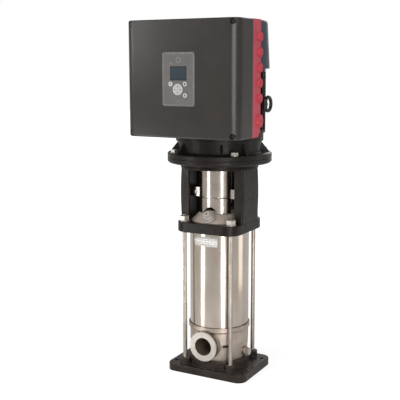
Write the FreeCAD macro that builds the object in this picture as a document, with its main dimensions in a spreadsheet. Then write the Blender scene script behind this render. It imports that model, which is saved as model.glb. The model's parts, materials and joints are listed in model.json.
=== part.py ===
import FreeCAD, Part
import math
import os
import re
import Sketcher

# A vertical multistage pump with a top-mounted motor and a speed control box on the motor's front.
# The origin is on the pump's axis at the underside of the base plate, +Z up, and the box faces -Y.
# All sizes are millimetres and degrees.

V = FreeCAD.Vector
X_AXIS, Y_AXIS, Z_AXIS = V(1, 0, 0), V(0, 1, 0), V(0, 0, 1)
SIDES = (-1, 1)
CORNERS = [(-1, -1), (1, -1), (1, 1), (-1, 1)]

SIZES = {
    # base plate
    "plate_width": 248, "plate_depth": 199, "plate_height": 21, "plate_corner": 26, "plate_edge": 2.5,
    "bolt_span_x": 215, "bolt_span_y": 130, "bolt_hole": 6.75,
    "collar_height": 21, "seat_play": 0.5, "rod_clear": 19.1, "rod_radius": 6,
    "rod_boss_radius": 14.5, "rod_boss_height": 17, "rod_thread": 26,
    # cast pump base
    "foot_step": 4.5, "waist_height": 45, "waist_step": 2, "bell_height": 74, "rim_proud": 4,
    "rim_height": 12, "base_height": 121, "base_wall": 6.5, "seat_step": 4,
    "well_radius": 45, "well_wall": 7, "well_floor": 41,
    "port_height": 90, "port_reach": 101, "port_radius": 42.5, "port_wall": 5,
    "suction_bore": 26, "suction_end": 30, "discharge_bore": 25, "discharge_end": 68, "duct_play": 2,
    "clamp_groove_depth": 3, "clamp_groove_width": 4, "clamp_land": 7,
    "mark_height": 88, "mark_length": 34, "mark_width": 9, "mark_depth": 2, "mark_turn": 44.5,
    "drain_height": 61, "drain_thread": 10.5, "drain_key": 11.5, "drain_head": 9, "drain_washer": 13.5,
    "drain_washer_height": 2, "drain_boss": 3,
    # outer sleeve and its seals
    "sleeve_radius": 85, "sleeve_wall": 2.5, "sleeve_length": 285, "spigot_play": 0.2,
    "spigot_height": 14, "ring_section": 2.2, "ring_drop": 6,
    # hydraulic stages
    "stage_count": 5, "stage_room": 60, "chamber_inset": 12.5, "chamber_wall": 2, "eye_radius": 31,
    "vane_height": 9, "strap_width": 18, "strap_thickness": 2, "strap_gap": 0.4,
    "impeller_inset": 10, "impeller_wall": 2, "impeller_height": 24, "hub_radius": 13, "blade_count": 6,
    "bush_wall": 5, "bush_length": 12, "running_play": 0.05, "free_play": 0.4,
    # pump head, vent and seal
    "head_flange": 13, "head_proud": 1.5, "dome_step": 3, "dome_taper": 27.5, "dome_slope": 45,
    "dome_lip": 8, "head_wall": 7, "seal_boss_radius": 48, "seal_boss_height": 7, "seal_bore": 20,
    "vent_inset": 17.5, "vent_radius": 12.5, "vent_length": 13, "vent_seat": 3, "vent_screw_radius": 5,
    "vent_screw_head": 7.5, "vent_screw_cap": 4, "socket_radius": 3,
    "seal_flange_radius": 32, "seal_flange": 6, "seal_spigot": 16, "seal_sleeve_wall": 4,
    "seal_ring_wall": 8, "seal_ring_height": 8, "seal_collar_wall": 9, "seal_collar_height": 7,
    # motor stool
    "flange_half": 98, "flange_corner": 40, "sleeve_grip": 3, "flange_height": 28,
    "flange_edge": 2,
    "leg_outer": 97.5, "leg_inner": 73, "leg_wall": 9, "leg_bow": 3, "leg_edge": 6,
    "leg_half_depth": 52, "window_height": 152, "neck_radius": 111, "neck_bore": 90,
    "neck_height": 15, "neck_step": 9.5, "neck_groove": 1.5,
    "disc_radius": 148, "disc_height": 14.5, "register_radius": 115, "register_depth": 4.5,
    "disc_edge": 1.2, "nut_key": 12.2, "nut_height": 13, "washer_radius": 12.5, "washer_height": 2.5,
    "rod_hole_play": 0.6, "rod_tip": 5,
    # coupling guards
    "guard_radius": 56, "guard_wall": 1.5, "guard_half_angle": 61, "guard_height": 128, "guard_lift": 1,
    "guard_ear": 20, "ear_height": 26, "ear_rise": 42, "notch_radius": 20, "bead": 1, "bead_rise": 45,
    "guard_screw": 3, "ear_screw_inset": 6, "guard_screw_depth": 8, "lug_inset": 60,
    # coupling and shafts
    "pump_shaft": 8, "motor_shaft": 19, "coupling_radius": 38, "coupling_length": 92, "coupling_split": 1,
    "coupling_gap": 14, "coupling_screw": 4, "coupling_screw_head": 6.5, "coupling_screw_offset": 27,
    "coupling_screw_inset": 18, "screw_seat": 16, "pin_radius": 3, "pin_length": 36,
    "coupling_screw_cap": 5, "coupling_nut": 4, "shaft_gap": 1,
    # motor
    "motor_disc_height": 13.5, "motor_neck": 118, "motor_neck_height": 33, "motor_step_inset": 5,
    "motor_step_height": 23, "flange_bolt_circle": 132.5, "flange_bolt": 6, "flange_bolt_key": 11,
    "flange_bolt_head": 8, "gusset_turn": 15, "gusset_thickness": 6,
    "gusset_tuck": 4, "gusset_toe": 6, "gusset_drop": 3, "flange_washer": 2, "flange_washer_proud": 0.4,
    "stator_radius": 129, "stator_length": 176, "fin_depth": 21, "frame_wall": 10, "fin_count": 40,
    "fin_thickness": 5, "stator_band": 8, "core_bore": 62, "core_inset": 20, "air_gap": 0.6,
    "winding_outer": 92, "winding_inner": 66, "winding_height": 15, "rotor_shaft": 24,
    "bearing_low_shaft": 20, "bearing_low_radius": 45, "bearing_low_width": 23, "bearing_low_inset": 20,
    "bearing_top_shaft": 17.5, "bearing_top_radius": 36, "bearing_top_width": 17, "bearing_top_drop": 3,
    "race_wall": 6,
    "shield_height": 14, "shield_step": 2, "shield_lap": 6, "shield_hub": 8, "lug_proud": 7,
    "lug_width": 16,
    "fan_hub": 20, "fan_shaft": 15, "fan_radius": 112, "fan_height": 34, "fan_blades": 9, "fan_disc": 4,
    "fan_blade": 3, "fan_lift": 12, "cover_proud": 10.4, "cover_taper": 6.4, "fan_cover_height": 130,
    "fan_cover_wall": 2.5,
    "cover_edge": 8, "grille_inner": 24, "grille_bar": 6, "grille_rings": 4, "grille_spokes": 8,
    "cover_screw": 2.5, "cover_screw_head": 4.5, "cover_screw_cap": 3, "cover_screw_length": 10,
    "cover_screw_rise": 5, "grille_edge": 6,
    # lifting eyes
    "eye_proud": 9.6, "eye_height": 80, "eye_ring": 19, "eye_wire": 4.7, "eye_collar": 9,
    "eye_collar_height": 3, "eye_stem": 5, "lug_half": 14, "lug_depth": 20, "lug_back": -2,
    # control box
    "box_half": 167, "box_height": 304, "box_drop": 2, "cover_depth": 84, "housing_depth": 48,
    "box_corner": 26, "box_edge": 5, "box_wall": 4, "panel_thickness": 4, "saddle_wall": 5,
    "saddle_play": 0.2, "saddle_room": 2.3, "cover_play": 5, "cover_gap": 2, "gasket": 1.5, "gasket_width": 8,
    "cover_bolt_edge": 17, "cover_bolt_inset": 10, "cover_bolt_recess": 7.5, "cover_bolt_depth": 9,
    "cover_bolt": 3, "cover_bolt_key": 5.5, "cover_bolt_boss": 10,
    "cover_bolt_head": 4, "cover_bolt_grip": 10, "brow_depth": 20, "brow_inset": 14,
    "board_margin": 42, "board_clear": 27, "board_thickness": 2, "board_gap": 24, "standoff": 6,
    "standoff_inset": 10, "can_radius": 14, "can_length": 30, "can_inset": 45, "can_pitch": 32,
    "can_count": 3, "can_rise": 90, "choke_width": 60, "choke_depth": 34, "choke_height": 46,
    "choke_inset": 25, "choke_rise": 60, "terminal_width": 90, "terminal_depth": 18,
    "terminal_height": 16, "terminal_inset": 15, "terminal_rise": 34,
    "entry_radius": 12, "entry_large": 17, "entry_boss": 4, "entry_depth": 97, "plug_ratio": 0.68,
    "entry_first": 260, "entry_pitch": 39.5, "entry_count": 5, "entry_last": 43, "plug_proud": 1.5,
    "plug_slot": 2, "side_corner": 14, "side_lift": 1,
    # operating panel
    "panel_x": -4, "panel_rise": 152, "panel_width": 94.5, "panel_tall": 137, "panel_corner": 6,
    "frame_width": 4, "frame_proud": 1.4, "panel_proud": 1, "panel_board": 4, "panel_lip": 5,
    "window_width": 48.5, "window_tall": 36, "window_rise": 15, "window_thickness": 1.6,
    "light_rise": 49, "light_radius": 7.5, "light_wall": 2.2, "light_depth": 1.5,
    "dial_shift": 1.6, "dial_drop": 26, "dial_radius": 14.5, "ok_radius": 4.5, "key_radius": 6,
    "key_gap": 0.3, "key_proud": 1, "key_travel": 0.8, "key_flange": 0.8, "dial_gap": 0.7,
    "left_key_shift": 23, "upper_key_drop": 12, "right_key_shift": 19.6, "lower_key_drop": 41,
}

# Heights and reaches that follow from the sizes above.
DERIVED = {
    "bell_radius": "sleeve_radius",
    "rim_radius": "sleeve_radius + rim_proud",
    "collar_radius": "rim_radius",
    "waist_radius": "bell_radius - waist_step",
    "foot_radius": "bell_radius - foot_step",
    "rod_offset": "(sleeve_radius + rod_clear) * sqrt(0.5)",
    "collar_top": "plate_height + collar_height",
    "rod_boss_top": "plate_height + rod_boss_height",
    "base_top": "plate_height + base_height",
    "seat_height": "base_top - rim_height + seat_step",
    "spigot_top": "seat_height + spigot_height",
    "sleeve_bore": "sleeve_radius - sleeve_wall",
    "spigot_radius": "sleeve_bore - spigot_play",
    "cavity_floor": "plate_height + well_floor",
    "cavity_radius": "bell_radius - base_wall",
    "sleeve_top": "seat_height + sleeve_length",
    "chamber_radius": "sleeve_bore - chamber_inset",
    "impeller_radius": "chamber_radius - impeller_inset",
    "stage_pitch": "(sleeve_length - stage_room) / stage_count",
    "stack_low": "spigot_top",
    "head_low": "sleeve_top - spigot_height",
    "head_top": "sleeve_top + head_flange",
    "head_radius": "sleeve_radius + head_proud",
    "dome_radius": "head_radius - dome_step",
    "dome_top_radius": "dome_radius - dome_taper",
    "vent_reach": "dome_radius - vent_inset",
    "dome_low": "head_top + dome_lip",
    "dome_rise": "(dome_radius - dome_top_radius) * tan(dome_slope)",
    "dome_top": "dome_low + dome_rise",
    "seal_seat": "dome_top + seal_boss_height",
    "flange_low": "sleeve_top - sleeve_grip",
    "flange_top": "flange_low + flange_height",
    "window_top": "flange_top + window_height",
    "stool_disc_low": "window_top + neck_height",
    "motor_seat": "stool_disc_low + disc_height",
    "disc_top": "motor_seat + motor_disc_height",
    "neck_top": "disc_top + motor_neck_height",
    "stator_low": "neck_top + motor_step_height",
    "stator_top": "stator_low + stator_length",
    "guard_low": "dome_top + guard_lift",
    "coupling_low": "seal_seat + seal_flange + coupling_gap",
    "coupling_top": "coupling_low + coupling_length",
    "shaft_meet": "coupling_low + coupling_length / 2",
    "bearing_low_seat": "stator_low - bearing_low_inset - bearing_low_width",
    "bearing_top_seat": "stator_top - bearing_top_drop",
    "motor_step": "stator_radius - motor_step_inset",
    "stator_root": "stator_radius - fin_depth",
    "stator_bore": "stator_root - frame_wall",
    "core_low": "stator_low + core_inset",
    "core_top": "stator_top - core_inset",
    "eye_side": "stator_radius + eye_proud",
    "shield_radius": "stator_radius - shield_step",
    "lug_reach": "stator_radius + lug_proud",
    "cover_low_radius": "stator_radius + cover_proud",
    "cover_top_radius": "cover_low_radius - cover_taper",
    "shield_top": "stator_top + shield_height",
    "fan_low": "shield_top + fan_lift",
    "fan_cover_top": "stator_top + fan_cover_height",
    "box_seam": "stator_radius + saddle_play + saddle_wall + gasket + saddle_room",
    "box_front": "box_seam + cover_depth",
    "box_back": "box_seam - housing_depth",
    "box_low": "stator_low - box_drop",
    "box_top": "box_low + box_height",
    "cover_bolt_side": "box_half - cover_bolt_edge",
    "board_width": "2 * (box_half - board_margin)",
    "board_tall": "box_height - 2 * board_clear",
    "panel_z": "box_low + panel_rise",
    "window_z": "panel_z + window_rise",
    "light_z": "panel_z + light_rise",
    "dial_x": "panel_x - dial_shift",
    "dial_z": "panel_z - dial_drop",
    "left_key_x": "panel_x - left_key_shift",
    "right_key_x": "panel_x + right_key_shift",
    "upper_key_z": "panel_z - upper_key_drop",
    "lower_key_z": "panel_z - lower_key_drop",
    "panel_face": "box_front + panel_proud",
    "panel_back": "panel_face - panel_board",
    "key_face": "panel_face + key_proud",
    "key_back": "panel_back - key_gap - key_flange",
    "keypad_face": "key_back - key_travel - key_gap",
    "vent_base": "dome_low + (dome_radius - vent_reach) * tan(dome_slope)",
}

GUARD_EDGE = "(guard_radius * cos(guard_half_angle))"
PIN_HEIGHT = "coupling_low + coupling_screw_inset"
SCREW_SPOTS = [(f"{side} * coupling_screw_offset", z) for side in SIDES
               for z in ("coupling_low + coupling_screw_inset", "coupling_top - coupling_screw_inset")]

doc = FreeCAD.newDocument("pump")
sheet = doc.addObject("Spreadsheet::Sheet", "sizes")
for row, (name, value) in enumerate(SIZES.items(), 1):
    sheet.set(f"A{row}", name)
    sheet.set(f"B{row}", str(value))
    sheet.setAlias(f"B{row}", name)
doc.recompute()

NODES = []


def tie(text):
    """An expression in the words of the sheet, with each derived word written out."""
    def word(found):
        name = found.group(0)
        if name in DERIVED:
            return "(" + tie(DERIVED[name]) + ")"
        return "sizes." + name if name in SIZES else name
    return re.sub(r"[a-z_]+", word, str(text))


def num(text):
    """The present value of an expression."""
    return float(sheet.evalExpression(tie(text)))


def bind(thing, **sizes):
    """Binds properties of an object to expressions."""
    for name, text in sizes.items():
        thing.setExpression(name, tie(text))
    return thing


def put(thing, x=0, y=0, z=0, turn=None):
    """Places an object at bound coordinates, after a fixed turn (axis, degrees)."""
    if turn:
        thing.Placement.Rotation = FreeCAD.Rotation(*turn)
    for name, text in (("x", x), ("y", y), ("z", z)):
        thing.setExpression("Placement.Base." + name, tie(text))
    return thing


ALONG = {"+X": (Y_AXIS, 90), "-X": (Y_AXIS, -90), "+Y": (X_AXIS, -90), "-Y": (X_AXIS, 90), "+Z": (Z_AXIS, 0)}


def cylinder(radius, height, x=0, y=0, z=0, along="+Z", turn=None):
    piece = doc.addObject("Part::Cylinder", "cylinder")
    bind(piece, Radius=radius, Height=height)
    return put(piece, x, y, z, turn or ALONG[along])


def box(length, width, height, x=0, y=0, z=0, turn=None):
    piece = doc.addObject("Part::Box", "box")
    bind(piece, Length=length, Width=width, Height=height)
    return put(piece, x, y, z, turn)


def prism(radius, height, x=0, y=0, z=0, along="+Z", turn=None):
    piece = doc.addObject("Part::Prism", "hexagon")
    piece.Polygon = 6
    bind(piece, Circumradius=radius, Height=height)
    return put(piece, x, y, z, turn or ALONG[along])


def cone(low_radius, top_radius, height, z):
    piece = doc.addObject("Part::Cone", "cone")
    bind(piece, Radius1=low_radius, Radius2=top_radius, Height=height)
    return put(piece, z=z)


def ring(radius, section, x=0, y=0, z=0, turn=None):
    piece = doc.addObject("Part::Torus", "ring")
    bind(piece, Radius1=radius, Radius2=section)
    return put(piece, x, y, z, turn)


def fuse(*pieces):
    result = doc.addObject("Part::MultiFuse", "fuse")
    result.Shapes = list(pieces)
    result.Refine = True
    return result


def cut(base, *tools):
    result = doc.addObject("Part::Cut", "cut")
    result.Base = base
    result.Tool = tools[0] if len(tools) == 1 else fuse(*tools)
    result.Refine = True
    return result


def common(base, tool):
    result = doc.addObject("Part::Common", "common")
    result.Base, result.Tool = base, tool
    return result


def group(*pieces):
    result = doc.addObject("Part::Compound", "group")
    result.Links = list(pieces)
    return result


def mirrored(piece, normal):
    result = doc.addObject("Part::Mirroring", "mirror")
    result.Source = piece
    result.Normal = normal
    return result


def turned(piece, angle):
    """A linked copy, turned about the pump's axis."""
    result = doc.addObject("Part::Compound", "turned")
    result.Links = [piece]
    result.Placement.Rotation = FreeCAD.Rotation(Z_AXIS, angle)
    return result


def node(name, piece):
    """Names a finished sub-part, which becomes a file."""
    piece.Label = name
    NODES.append(piece)
    return piece


def lock(sketch, axis, index, end, text):
    """Holds one coordinate of a sketch point to an expression."""
    if str(text) == "0":
        line = -2 if axis == "X" else -1
        sketch.addConstraint(Sketcher.Constraint("PointOnObject", index, end, line))
        return
    place = sketch.addConstraint(Sketcher.Constraint("Distance" + axis, -1, 1, index, end, num(text)))
    sketch.setExpression(f"Constraints[{place}]", tie(text))


def arc_through(start, end, radius, side):
    """An arc of a given radius; side 1 turns left from start to end, -1 turns right."""
    chord = end - start
    half = chord.Length / 2
    radius = max(radius, half * 1.0001)
    across = V(-chord.y, chord.x, 0).normalize() * side
    centre = (start + end) / 2 + across * math.sqrt(radius ** 2 - half ** 2)
    first, last = (start, end) if side > 0 else (end, start)
    angles = [math.atan2(p.y - centre.y, p.x - centre.x) for p in (first, last)]
    return Part.ArcOfCircle(Part.Circle(centre, Z_AXIS, radius), *angles)


def outline(sketch, points):
    """Closes one loop. A point is (x, y), or (x, y, radius, side) where an arc ends there."""
    places = [V(num(p[0]), num(p[1]), 0) for p in points]
    runs = []
    for i, point in enumerate(points):
        start, end = places[i - 1], places[i]
        if len(point) == 2:
            runs.append((sketch.addGeometry(Part.LineSegment(start, end)), 1, 2))
            continue
        index = sketch.addGeometry(arc_through(start, end, num(point[2]), point[3]))
        runs.append((index, 1, 2) if point[3] > 0 else (index, 2, 1))
    for i, point in enumerate(points):
        index, _, end = runs[i]
        follower, begin, _ = runs[(i + 1) % len(runs)]
        sketch.addConstraint(Sketcher.Constraint("Coincident", index, end, follower, begin))
        lock(sketch, "X", index, end, point[0])
        lock(sketch, "Y", index, end, point[1])
        if len(point) == 4:
            place = sketch.addConstraint(Sketcher.Constraint("Radius", index, num(point[2])))
            sketch.setExpression(f"Constraints[{place}]", tie(point[2]))


def new_sketch(body, plane, *loops, lift=0):
    """A sketch on one of the body's own planes, XY, XZ or YZ, moved along its normal."""
    sketch = body.newObject("Sketcher::SketchObject", "profile")
    origin = next(o for o in body.Origin.OriginFeatures if o.Role == plane + "_Plane")
    sketch.AttachmentSupport = [(origin, "")]
    sketch.MapMode = "FlatFace"
    sketch.setExpression("AttachmentOffset.Base.z", tie(lift))
    for points in loops:
        outline(sketch, points)
    return sketch


def revolved(*loops):
    """A turned body about the Z axis; each point is (radius, height)."""
    body = doc.addObject("PartDesign::Body", "turned_body")
    sketch = new_sketch(body, "XZ", *loops)
    feature = body.newObject("PartDesign::Revolution", "turn")
    feature.Profile = sketch
    feature.ReferenceAxis = (sketch, ["V_Axis"])
    feature.Angle = 360
    return body


def padded(plane, length, *loops, lift=0):
    """An extruded body, along the normal of its plane."""
    body = doc.addObject("PartDesign::Body", "padded_body")
    sketch = new_sketch(body, plane, *loops, lift=lift)
    feature = body.newObject("PartDesign::Pad", "pad")
    feature.Profile = sketch
    bind(feature, Length=length)
    return body


def dressed(body, kind, size, test):
    """Adds a Fillet or Chamfer to the edges of a body that pass a test."""
    doc.recompute()
    base = body.Tip
    names = [f"Edge{i}" for i, edge in enumerate(base.Shape.Edges, 1) if test(edge)]
    feature = body.newObject("PartDesign::" + kind, kind.lower())
    feature.Base = (base, names)
    bind(feature, **{"Radius" if kind == "Fillet" else "Size": size})
    return body


def is_upright(edge):
    box_of = edge.BoundBox
    return box_of.ZLength > 1 and box_of.XLength < 0.01 and box_of.YLength < 0.01


def lies_at(edge, height):
    box_of = edge.BoundBox
    return box_of.ZLength < 0.01 and abs(box_of.ZMin - height) < 0.01


def rectangle(half_width, half_depth, x="0", y="0"):
    """The four corners of a rectangle about a centre."""
    return [(f"({x}) + ({a}) * ({half_width})", f"({y}) + ({b}) * ({half_depth})") for a, b in CORNERS]


def at_corners(make):
    """Four pieces, one for each pair of signs."""
    return [make(a, b) for a, b in CORNERS]


def base_plate():
    plate = padded("XY", "plate_height", rectangle("plate_width / 2", "plate_depth / 2"))
    dressed(plate, "Fillet", "plate_corner", is_upright)
    dressed(plate, "Fillet", "plate_edge", lambda e: lies_at(e, num("plate_height")))
    collar = cylinder("collar_radius", "collar_top")
    seat = cylinder("foot_radius + seat_play", "collar_height + 1", z="plate_height")
    bosses = at_corners(lambda a, b: cylinder(
        "rod_boss_radius", "rod_boss_top", f"{a} * rod_offset", f"{b} * rod_offset"))
    threads = at_corners(lambda a, b: cylinder(
        "rod_radius", "rod_thread", f"{a} * rod_offset", f"{b} * rod_offset", "rod_boss_top - rod_thread"))
    holes = at_corners(lambda a, b: cylinder(
        "bolt_hole", "plate_height", f"{a} * bolt_span_x / 2", f"{b} * bolt_span_y / 2"))
    node("base_plate", cut(fuse(plate, collar, *bosses), seat, *threads, *holes))


def port(side):
    """One side port: a round clamp end with a groove behind its face."""
    along = "+Y" if side > 0 else "-Y"
    barrel = cylinder("port_radius", "port_reach - well_radius - well_wall", z="port_height",
                      y=f"{side} * (well_radius + well_wall)", along=along)
    groove = cut(
        cylinder("port_radius + 1", "clamp_groove_width", z="port_height",
                 y=f"{side} * (port_reach - clamp_land - clamp_groove_width)", along=along),
        cylinder("port_radius - clamp_groove_depth", "clamp_groove_width", z="port_height",
                 y=f"{side} * (port_reach - clamp_land - clamp_groove_width)", along=along))
    return cut(barrel, groove)


def pump_base():
    casting = revolved([
        ("0", "plate_height"), ("foot_radius", "plate_height"), ("foot_radius", "collar_top"),
        ("waist_radius", "plate_height + waist_height"), ("bell_radius", "plate_height + bell_height"),
        ("bell_radius", "base_top - rim_height - 4"), ("rim_radius", "base_top - rim_height"),
        ("rim_radius", "base_top"), ("sleeve_radius + spigot_play", "base_top"),
        ("sleeve_radius + spigot_play", "seat_height"), ("spigot_radius", "seat_height"),
        ("spigot_radius", "spigot_top - ring_drop - 1.2 * ring_section"),
        ("sleeve_bore - ring_section", "spigot_top - ring_drop - 1.2 * ring_section"),
        ("sleeve_bore - ring_section", "spigot_top - ring_drop"),
        ("spigot_radius", "spigot_top - ring_drop"), ("spigot_radius", "spigot_top"), ("0", "spigot_top")])
    passage = revolved([
        ("well_radius + well_wall", "cavity_floor"), ("cavity_radius - 2", "cavity_floor"),
        ("cavity_radius - 1", "spigot_top + 1"), ("well_radius + well_wall", "spigot_top + 1")])
    well = cylinder("well_radius", "spigot_top", z="cavity_floor")
    ducts = [cylinder("suction_bore + port_wall", "cavity_radius - suction_end", z="port_height",
                      y="-suction_end", along="-Y"),
             cylinder("discharge_bore + port_wall", "cavity_radius - discharge_end", z="port_height",
                      y="discharge_end", along="+Y")]
    shell = fuse(cut(casting, cut(well, ducts[0])), *(port(side) for side in SIDES))
    inner = cut(passage, *ducts)
    suction = cylinder("suction_bore", "port_reach - suction_end + duct_play", z="port_height",
                       y="duct_play / 2 - suction_end", along="-Y")
    discharge = cylinder("discharge_bore", "port_reach - discharge_end + duct_play", z="port_height",
                         y="discharge_end - duct_play / 2", along="+Y")
    boss = cylinder("drain_washer", "bell_radius + drain_boss - cavity_radius + 2", z="drain_height",
                    x="cavity_radius - 2", along="+X")
    thread = cylinder("drain_thread", "bell_radius", z="drain_height", x="cavity_radius - 4", along="+X")
    hollow = cut(cut(fuse(shell, boss), inner), suction, discharge)
    node("pump_base", cut(cut(hollow, thread), flow_mark()))


def flow_mark():
    """A shallow slot with round ends in the side of the casting, as the flow mark's recess."""
    angle = -num("mark_turn")
    floor = "bell_radius - mark_depth"
    turn = FreeCAD.Rotation(Z_AXIS, angle) * FreeCAD.Rotation(Y_AXIS, 90)
    ends = []
    for side in SIDES:
        end = doc.addObject("Part::Cylinder", "mark_end")
        bind(end, Radius="mark_width / 2", Height="mark_depth + 10")
        end.Placement.Rotation = turn
        shift = f"{side} * (mark_length - mark_width) / 2"
        put(end, f"({floor}) * cos(mark_turn) + ({shift}) * sin(mark_turn)",
            f"-({floor}) * sin(mark_turn) + ({shift}) * cos(mark_turn)", "mark_height")
        ends.append(end)
    middle = doc.addObject("Part::Box", "mark_middle")
    bind(middle, Length="mark_depth + 10", Width="mark_length - mark_width", Height="mark_width")
    middle.Placement.Rotation = FreeCAD.Rotation(Z_AXIS, angle)
    shift = "-(mark_length - mark_width) / 2"
    put(middle, f"({floor}) * cos(mark_turn) + ({shift}) * sin(mark_turn)",
        f"-({floor}) * sin(mark_turn) + ({shift}) * cos(mark_turn)", "mark_height - mark_width / 2")
    return fuse(middle, *ends)


def drain_plug():
    seat = "bell_radius + drain_boss"
    stem = cylinder("drain_thread", "bell_radius + drain_boss - cavity_radius", z="drain_height",
                    x="cavity_radius", along="+X")
    washer = cylinder("drain_washer", "drain_washer_height", z="drain_height", x=seat, along="+X")
    head = prism("drain_key", "drain_head", z="drain_height", x=seat + " + drain_washer_height",
                 along="+X")
    node("drain_plug", fuse(stem, washer, head))


def staybolts():
    low = "rod_boss_top - rod_thread"
    top = "flange_top + washer_height + nut_height + rod_tip"
    spot = lambda a, b: (f"{a} * rod_offset", f"{b} * rod_offset")
    node("staybolts", group(*at_corners(lambda a, b: cylinder(
        "rod_radius", f"({top}) - ({low})", *spot(a, b), low))))
    node("staybolt_washers", group(*at_corners(lambda a, b: cut(
        cylinder("washer_radius", "washer_height", *spot(a, b), "flange_top"),
        cylinder("rod_radius", "washer_height", *spot(a, b), "flange_top")))))
    node("staybolt_nuts", group(*at_corners(lambda a, b: cut(
        prism("nut_key", "nut_height", *spot(a, b), "flange_top + washer_height"),
        cylinder("rod_radius", "nut_height", *spot(a, b), "flange_top + washer_height")))))


def sleeve_and_rings():
    sleeve = revolved([("sleeve_bore", "seat_height"), ("sleeve_radius", "seat_height"),
                       ("sleeve_radius", "sleeve_top"), ("sleeve_bore", "sleeve_top")])
    node("outer_sleeve", sleeve)
    middle = "sleeve_bore - ring_section / 2"
    low = ring(middle, "ring_section / 2", z="spigot_top - ring_drop - 0.6 * ring_section")
    top = ring(middle, "ring_section / 2", z="head_low + ring_drop + 0.6 * ring_section")
    node("sleeve_o_rings", group(low, top))


def chamber(index):
    """One stage chamber: a cup with an eye in its floor and a bush carrier in its roof."""
    low = f"(stack_low + {index} * stage_pitch)"
    carrier = "pump_shaft + running_play + bush_wall"
    cup = revolved([
        ("eye_radius", f"{low}"), ("chamber_radius", f"{low}"),
        ("chamber_radius", f"{low} + stage_pitch"),
        ("chamber_radius - chamber_wall", f"{low} + stage_pitch"),
        ("chamber_radius - chamber_wall", f"{low} + chamber_wall"),
        ("eye_radius + chamber_wall", f"{low} + chamber_wall"),
        ("eye_radius + chamber_wall", f"{low} + vane_height"), ("eye_radius", f"{low} + vane_height")])
    roof = revolved([
        (carrier, f"{low} + stage_pitch - bush_length"),
        (f"{carrier} + chamber_wall", f"{low} + stage_pitch - bush_length"),
        (f"{carrier} + chamber_wall", f"{low} + stage_pitch - chamber_wall - 1"),
        ("impeller_radius", f"{low} + stage_pitch - chamber_wall - 1"),
        ("impeller_radius", f"{low} + stage_pitch - 1"), (carrier, f"{low} + stage_pitch - 1")])
    ribs = [box("chamber_radius - impeller_radius", "chamber_wall", "chamber_wall",
                f"(impeller_radius - 1) * cos({a})", f"(impeller_radius - 1) * sin({a})",
                f"{low} + stage_pitch - chamber_wall - 1", (Z_AXIS, a)) for a in range(0, 360, 60)]
    return fuse(cup, roof, *ribs)


def hydraulics():
    count = int(round(num("stage_count")))
    node("stage_chambers", group(*(chamber(i) for i in range(count))))
    height = "stage_count * stage_pitch"
    band = cut(cylinder("chamber_radius + strap_gap + strap_thickness", height, z="stack_low"),
               cylinder("chamber_radius + strap_gap", height, z="stack_low"))
    straps = []
    for angle in (0, 90, 180, 270):
        slab = box("chamber_radius + 10", "strap_width", height,
                   f"strap_width / 2 * sin({angle})", f"-strap_width / 2 * cos({angle})", "stack_low",
                   (Z_AXIS, angle))
        straps.append(common(band, slab))
    node("chamber_straps", group(*straps))
    bushes = []
    for i in range(count):
        low = f"stack_low + {i + 1} * stage_pitch - bush_length"
        bushes.append(revolved([
            ("pump_shaft + running_play", low), ("pump_shaft + running_play + bush_wall", low),
            ("pump_shaft + running_play + bush_wall", f"{low} + bush_length"),
            ("pump_shaft + running_play", f"{low} + bush_length")]))
    node("shaft_bushes", group(*bushes))
    node("impellers", group(*(impeller(i) for i in range(count))))


def impeller(index):
    """A shrouded impeller: two discs, a hub, an inlet ring and back-swept blades."""
    low = f"(stack_low + {index} * stage_pitch + free_play)"
    top = f"({low} + impeller_height)"
    floor = f"({low} + vane_height + 2)"
    eye = "eye_radius - free_play"
    tip = "impeller_radius"
    shroud = revolved([
        (f"{eye} - impeller_wall", low), (eye, low), (eye, floor), (tip, floor),
        (tip, f"{floor} + impeller_wall"), (f"{eye} - impeller_wall", f"{floor} + impeller_wall")])
    back = revolved([
        ("pump_shaft", low), ("hub_radius", low), ("hub_radius", f"{top} - impeller_wall"),
        (tip, f"{top} - impeller_wall"), (tip, top), ("pump_shaft", top)])
    blades = []
    steps = int(round(num("blade_count")))
    for i in range(steps):
        angle = 360 / steps * i
        blades.append(box(
            "impeller_radius - hub_radius - 5", "impeller_wall", f"{top} - {floor} - impeller_wall",
            f"hub_radius * cos({angle}) + 6 * sin({angle})", f"hub_radius * sin({angle}) - 6 * cos({angle})",
            f"{floor} + impeller_wall / 2", (Z_AXIS, angle + 14)))
    return fuse(shroud, back, *blades)


def pump_head():
    """The domed head that closes the sleeve, carries the shaft seal and holds the vent."""
    groove_low = "head_low + ring_drop"
    shell = revolved([
        ("seal_bore", "dome_low"), ("dome_top_radius - 8", "dome_low"),
        ("spigot_radius - head_wall - 8", "head_top - 4"), ("spigot_radius - head_wall", "head_top - 10"),
        ("spigot_radius - head_wall", "head_low"), ("spigot_radius", "head_low"),
        ("spigot_radius", groove_low), ("sleeve_bore - ring_section", groove_low),
        ("sleeve_bore - ring_section", groove_low + " + 1.2 * ring_section"),
        ("spigot_radius", groove_low + " + 1.2 * ring_section"), ("spigot_radius", "sleeve_top"),
        ("head_radius", "sleeve_top"), ("head_radius", "head_top"), ("dome_radius", "head_top"),
        ("dome_radius", "dome_low"), ("dome_top_radius", "dome_top"), ("seal_boss_radius", "dome_top"),
        ("seal_boss_radius", "seal_seat"), ("seal_bore", "seal_seat")])
    tap = tilted(cylinder("vent_screw_radius + 2", "head_wall + 6"), -6)
    node("pump_head", cut(shell, tap))


def tilted(piece, lift):
    """Stands a piece on the dome, square to its slope, lift above its surface."""
    piece.Placement.Rotation = FreeCAD.Rotation(X_AXIS, num("dome_slope"))
    return put(piece, 0, f"-vent_reach - ({lift}) * sin(dome_slope)",
               f"vent_base + ({lift}) * cos(dome_slope)")


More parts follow.
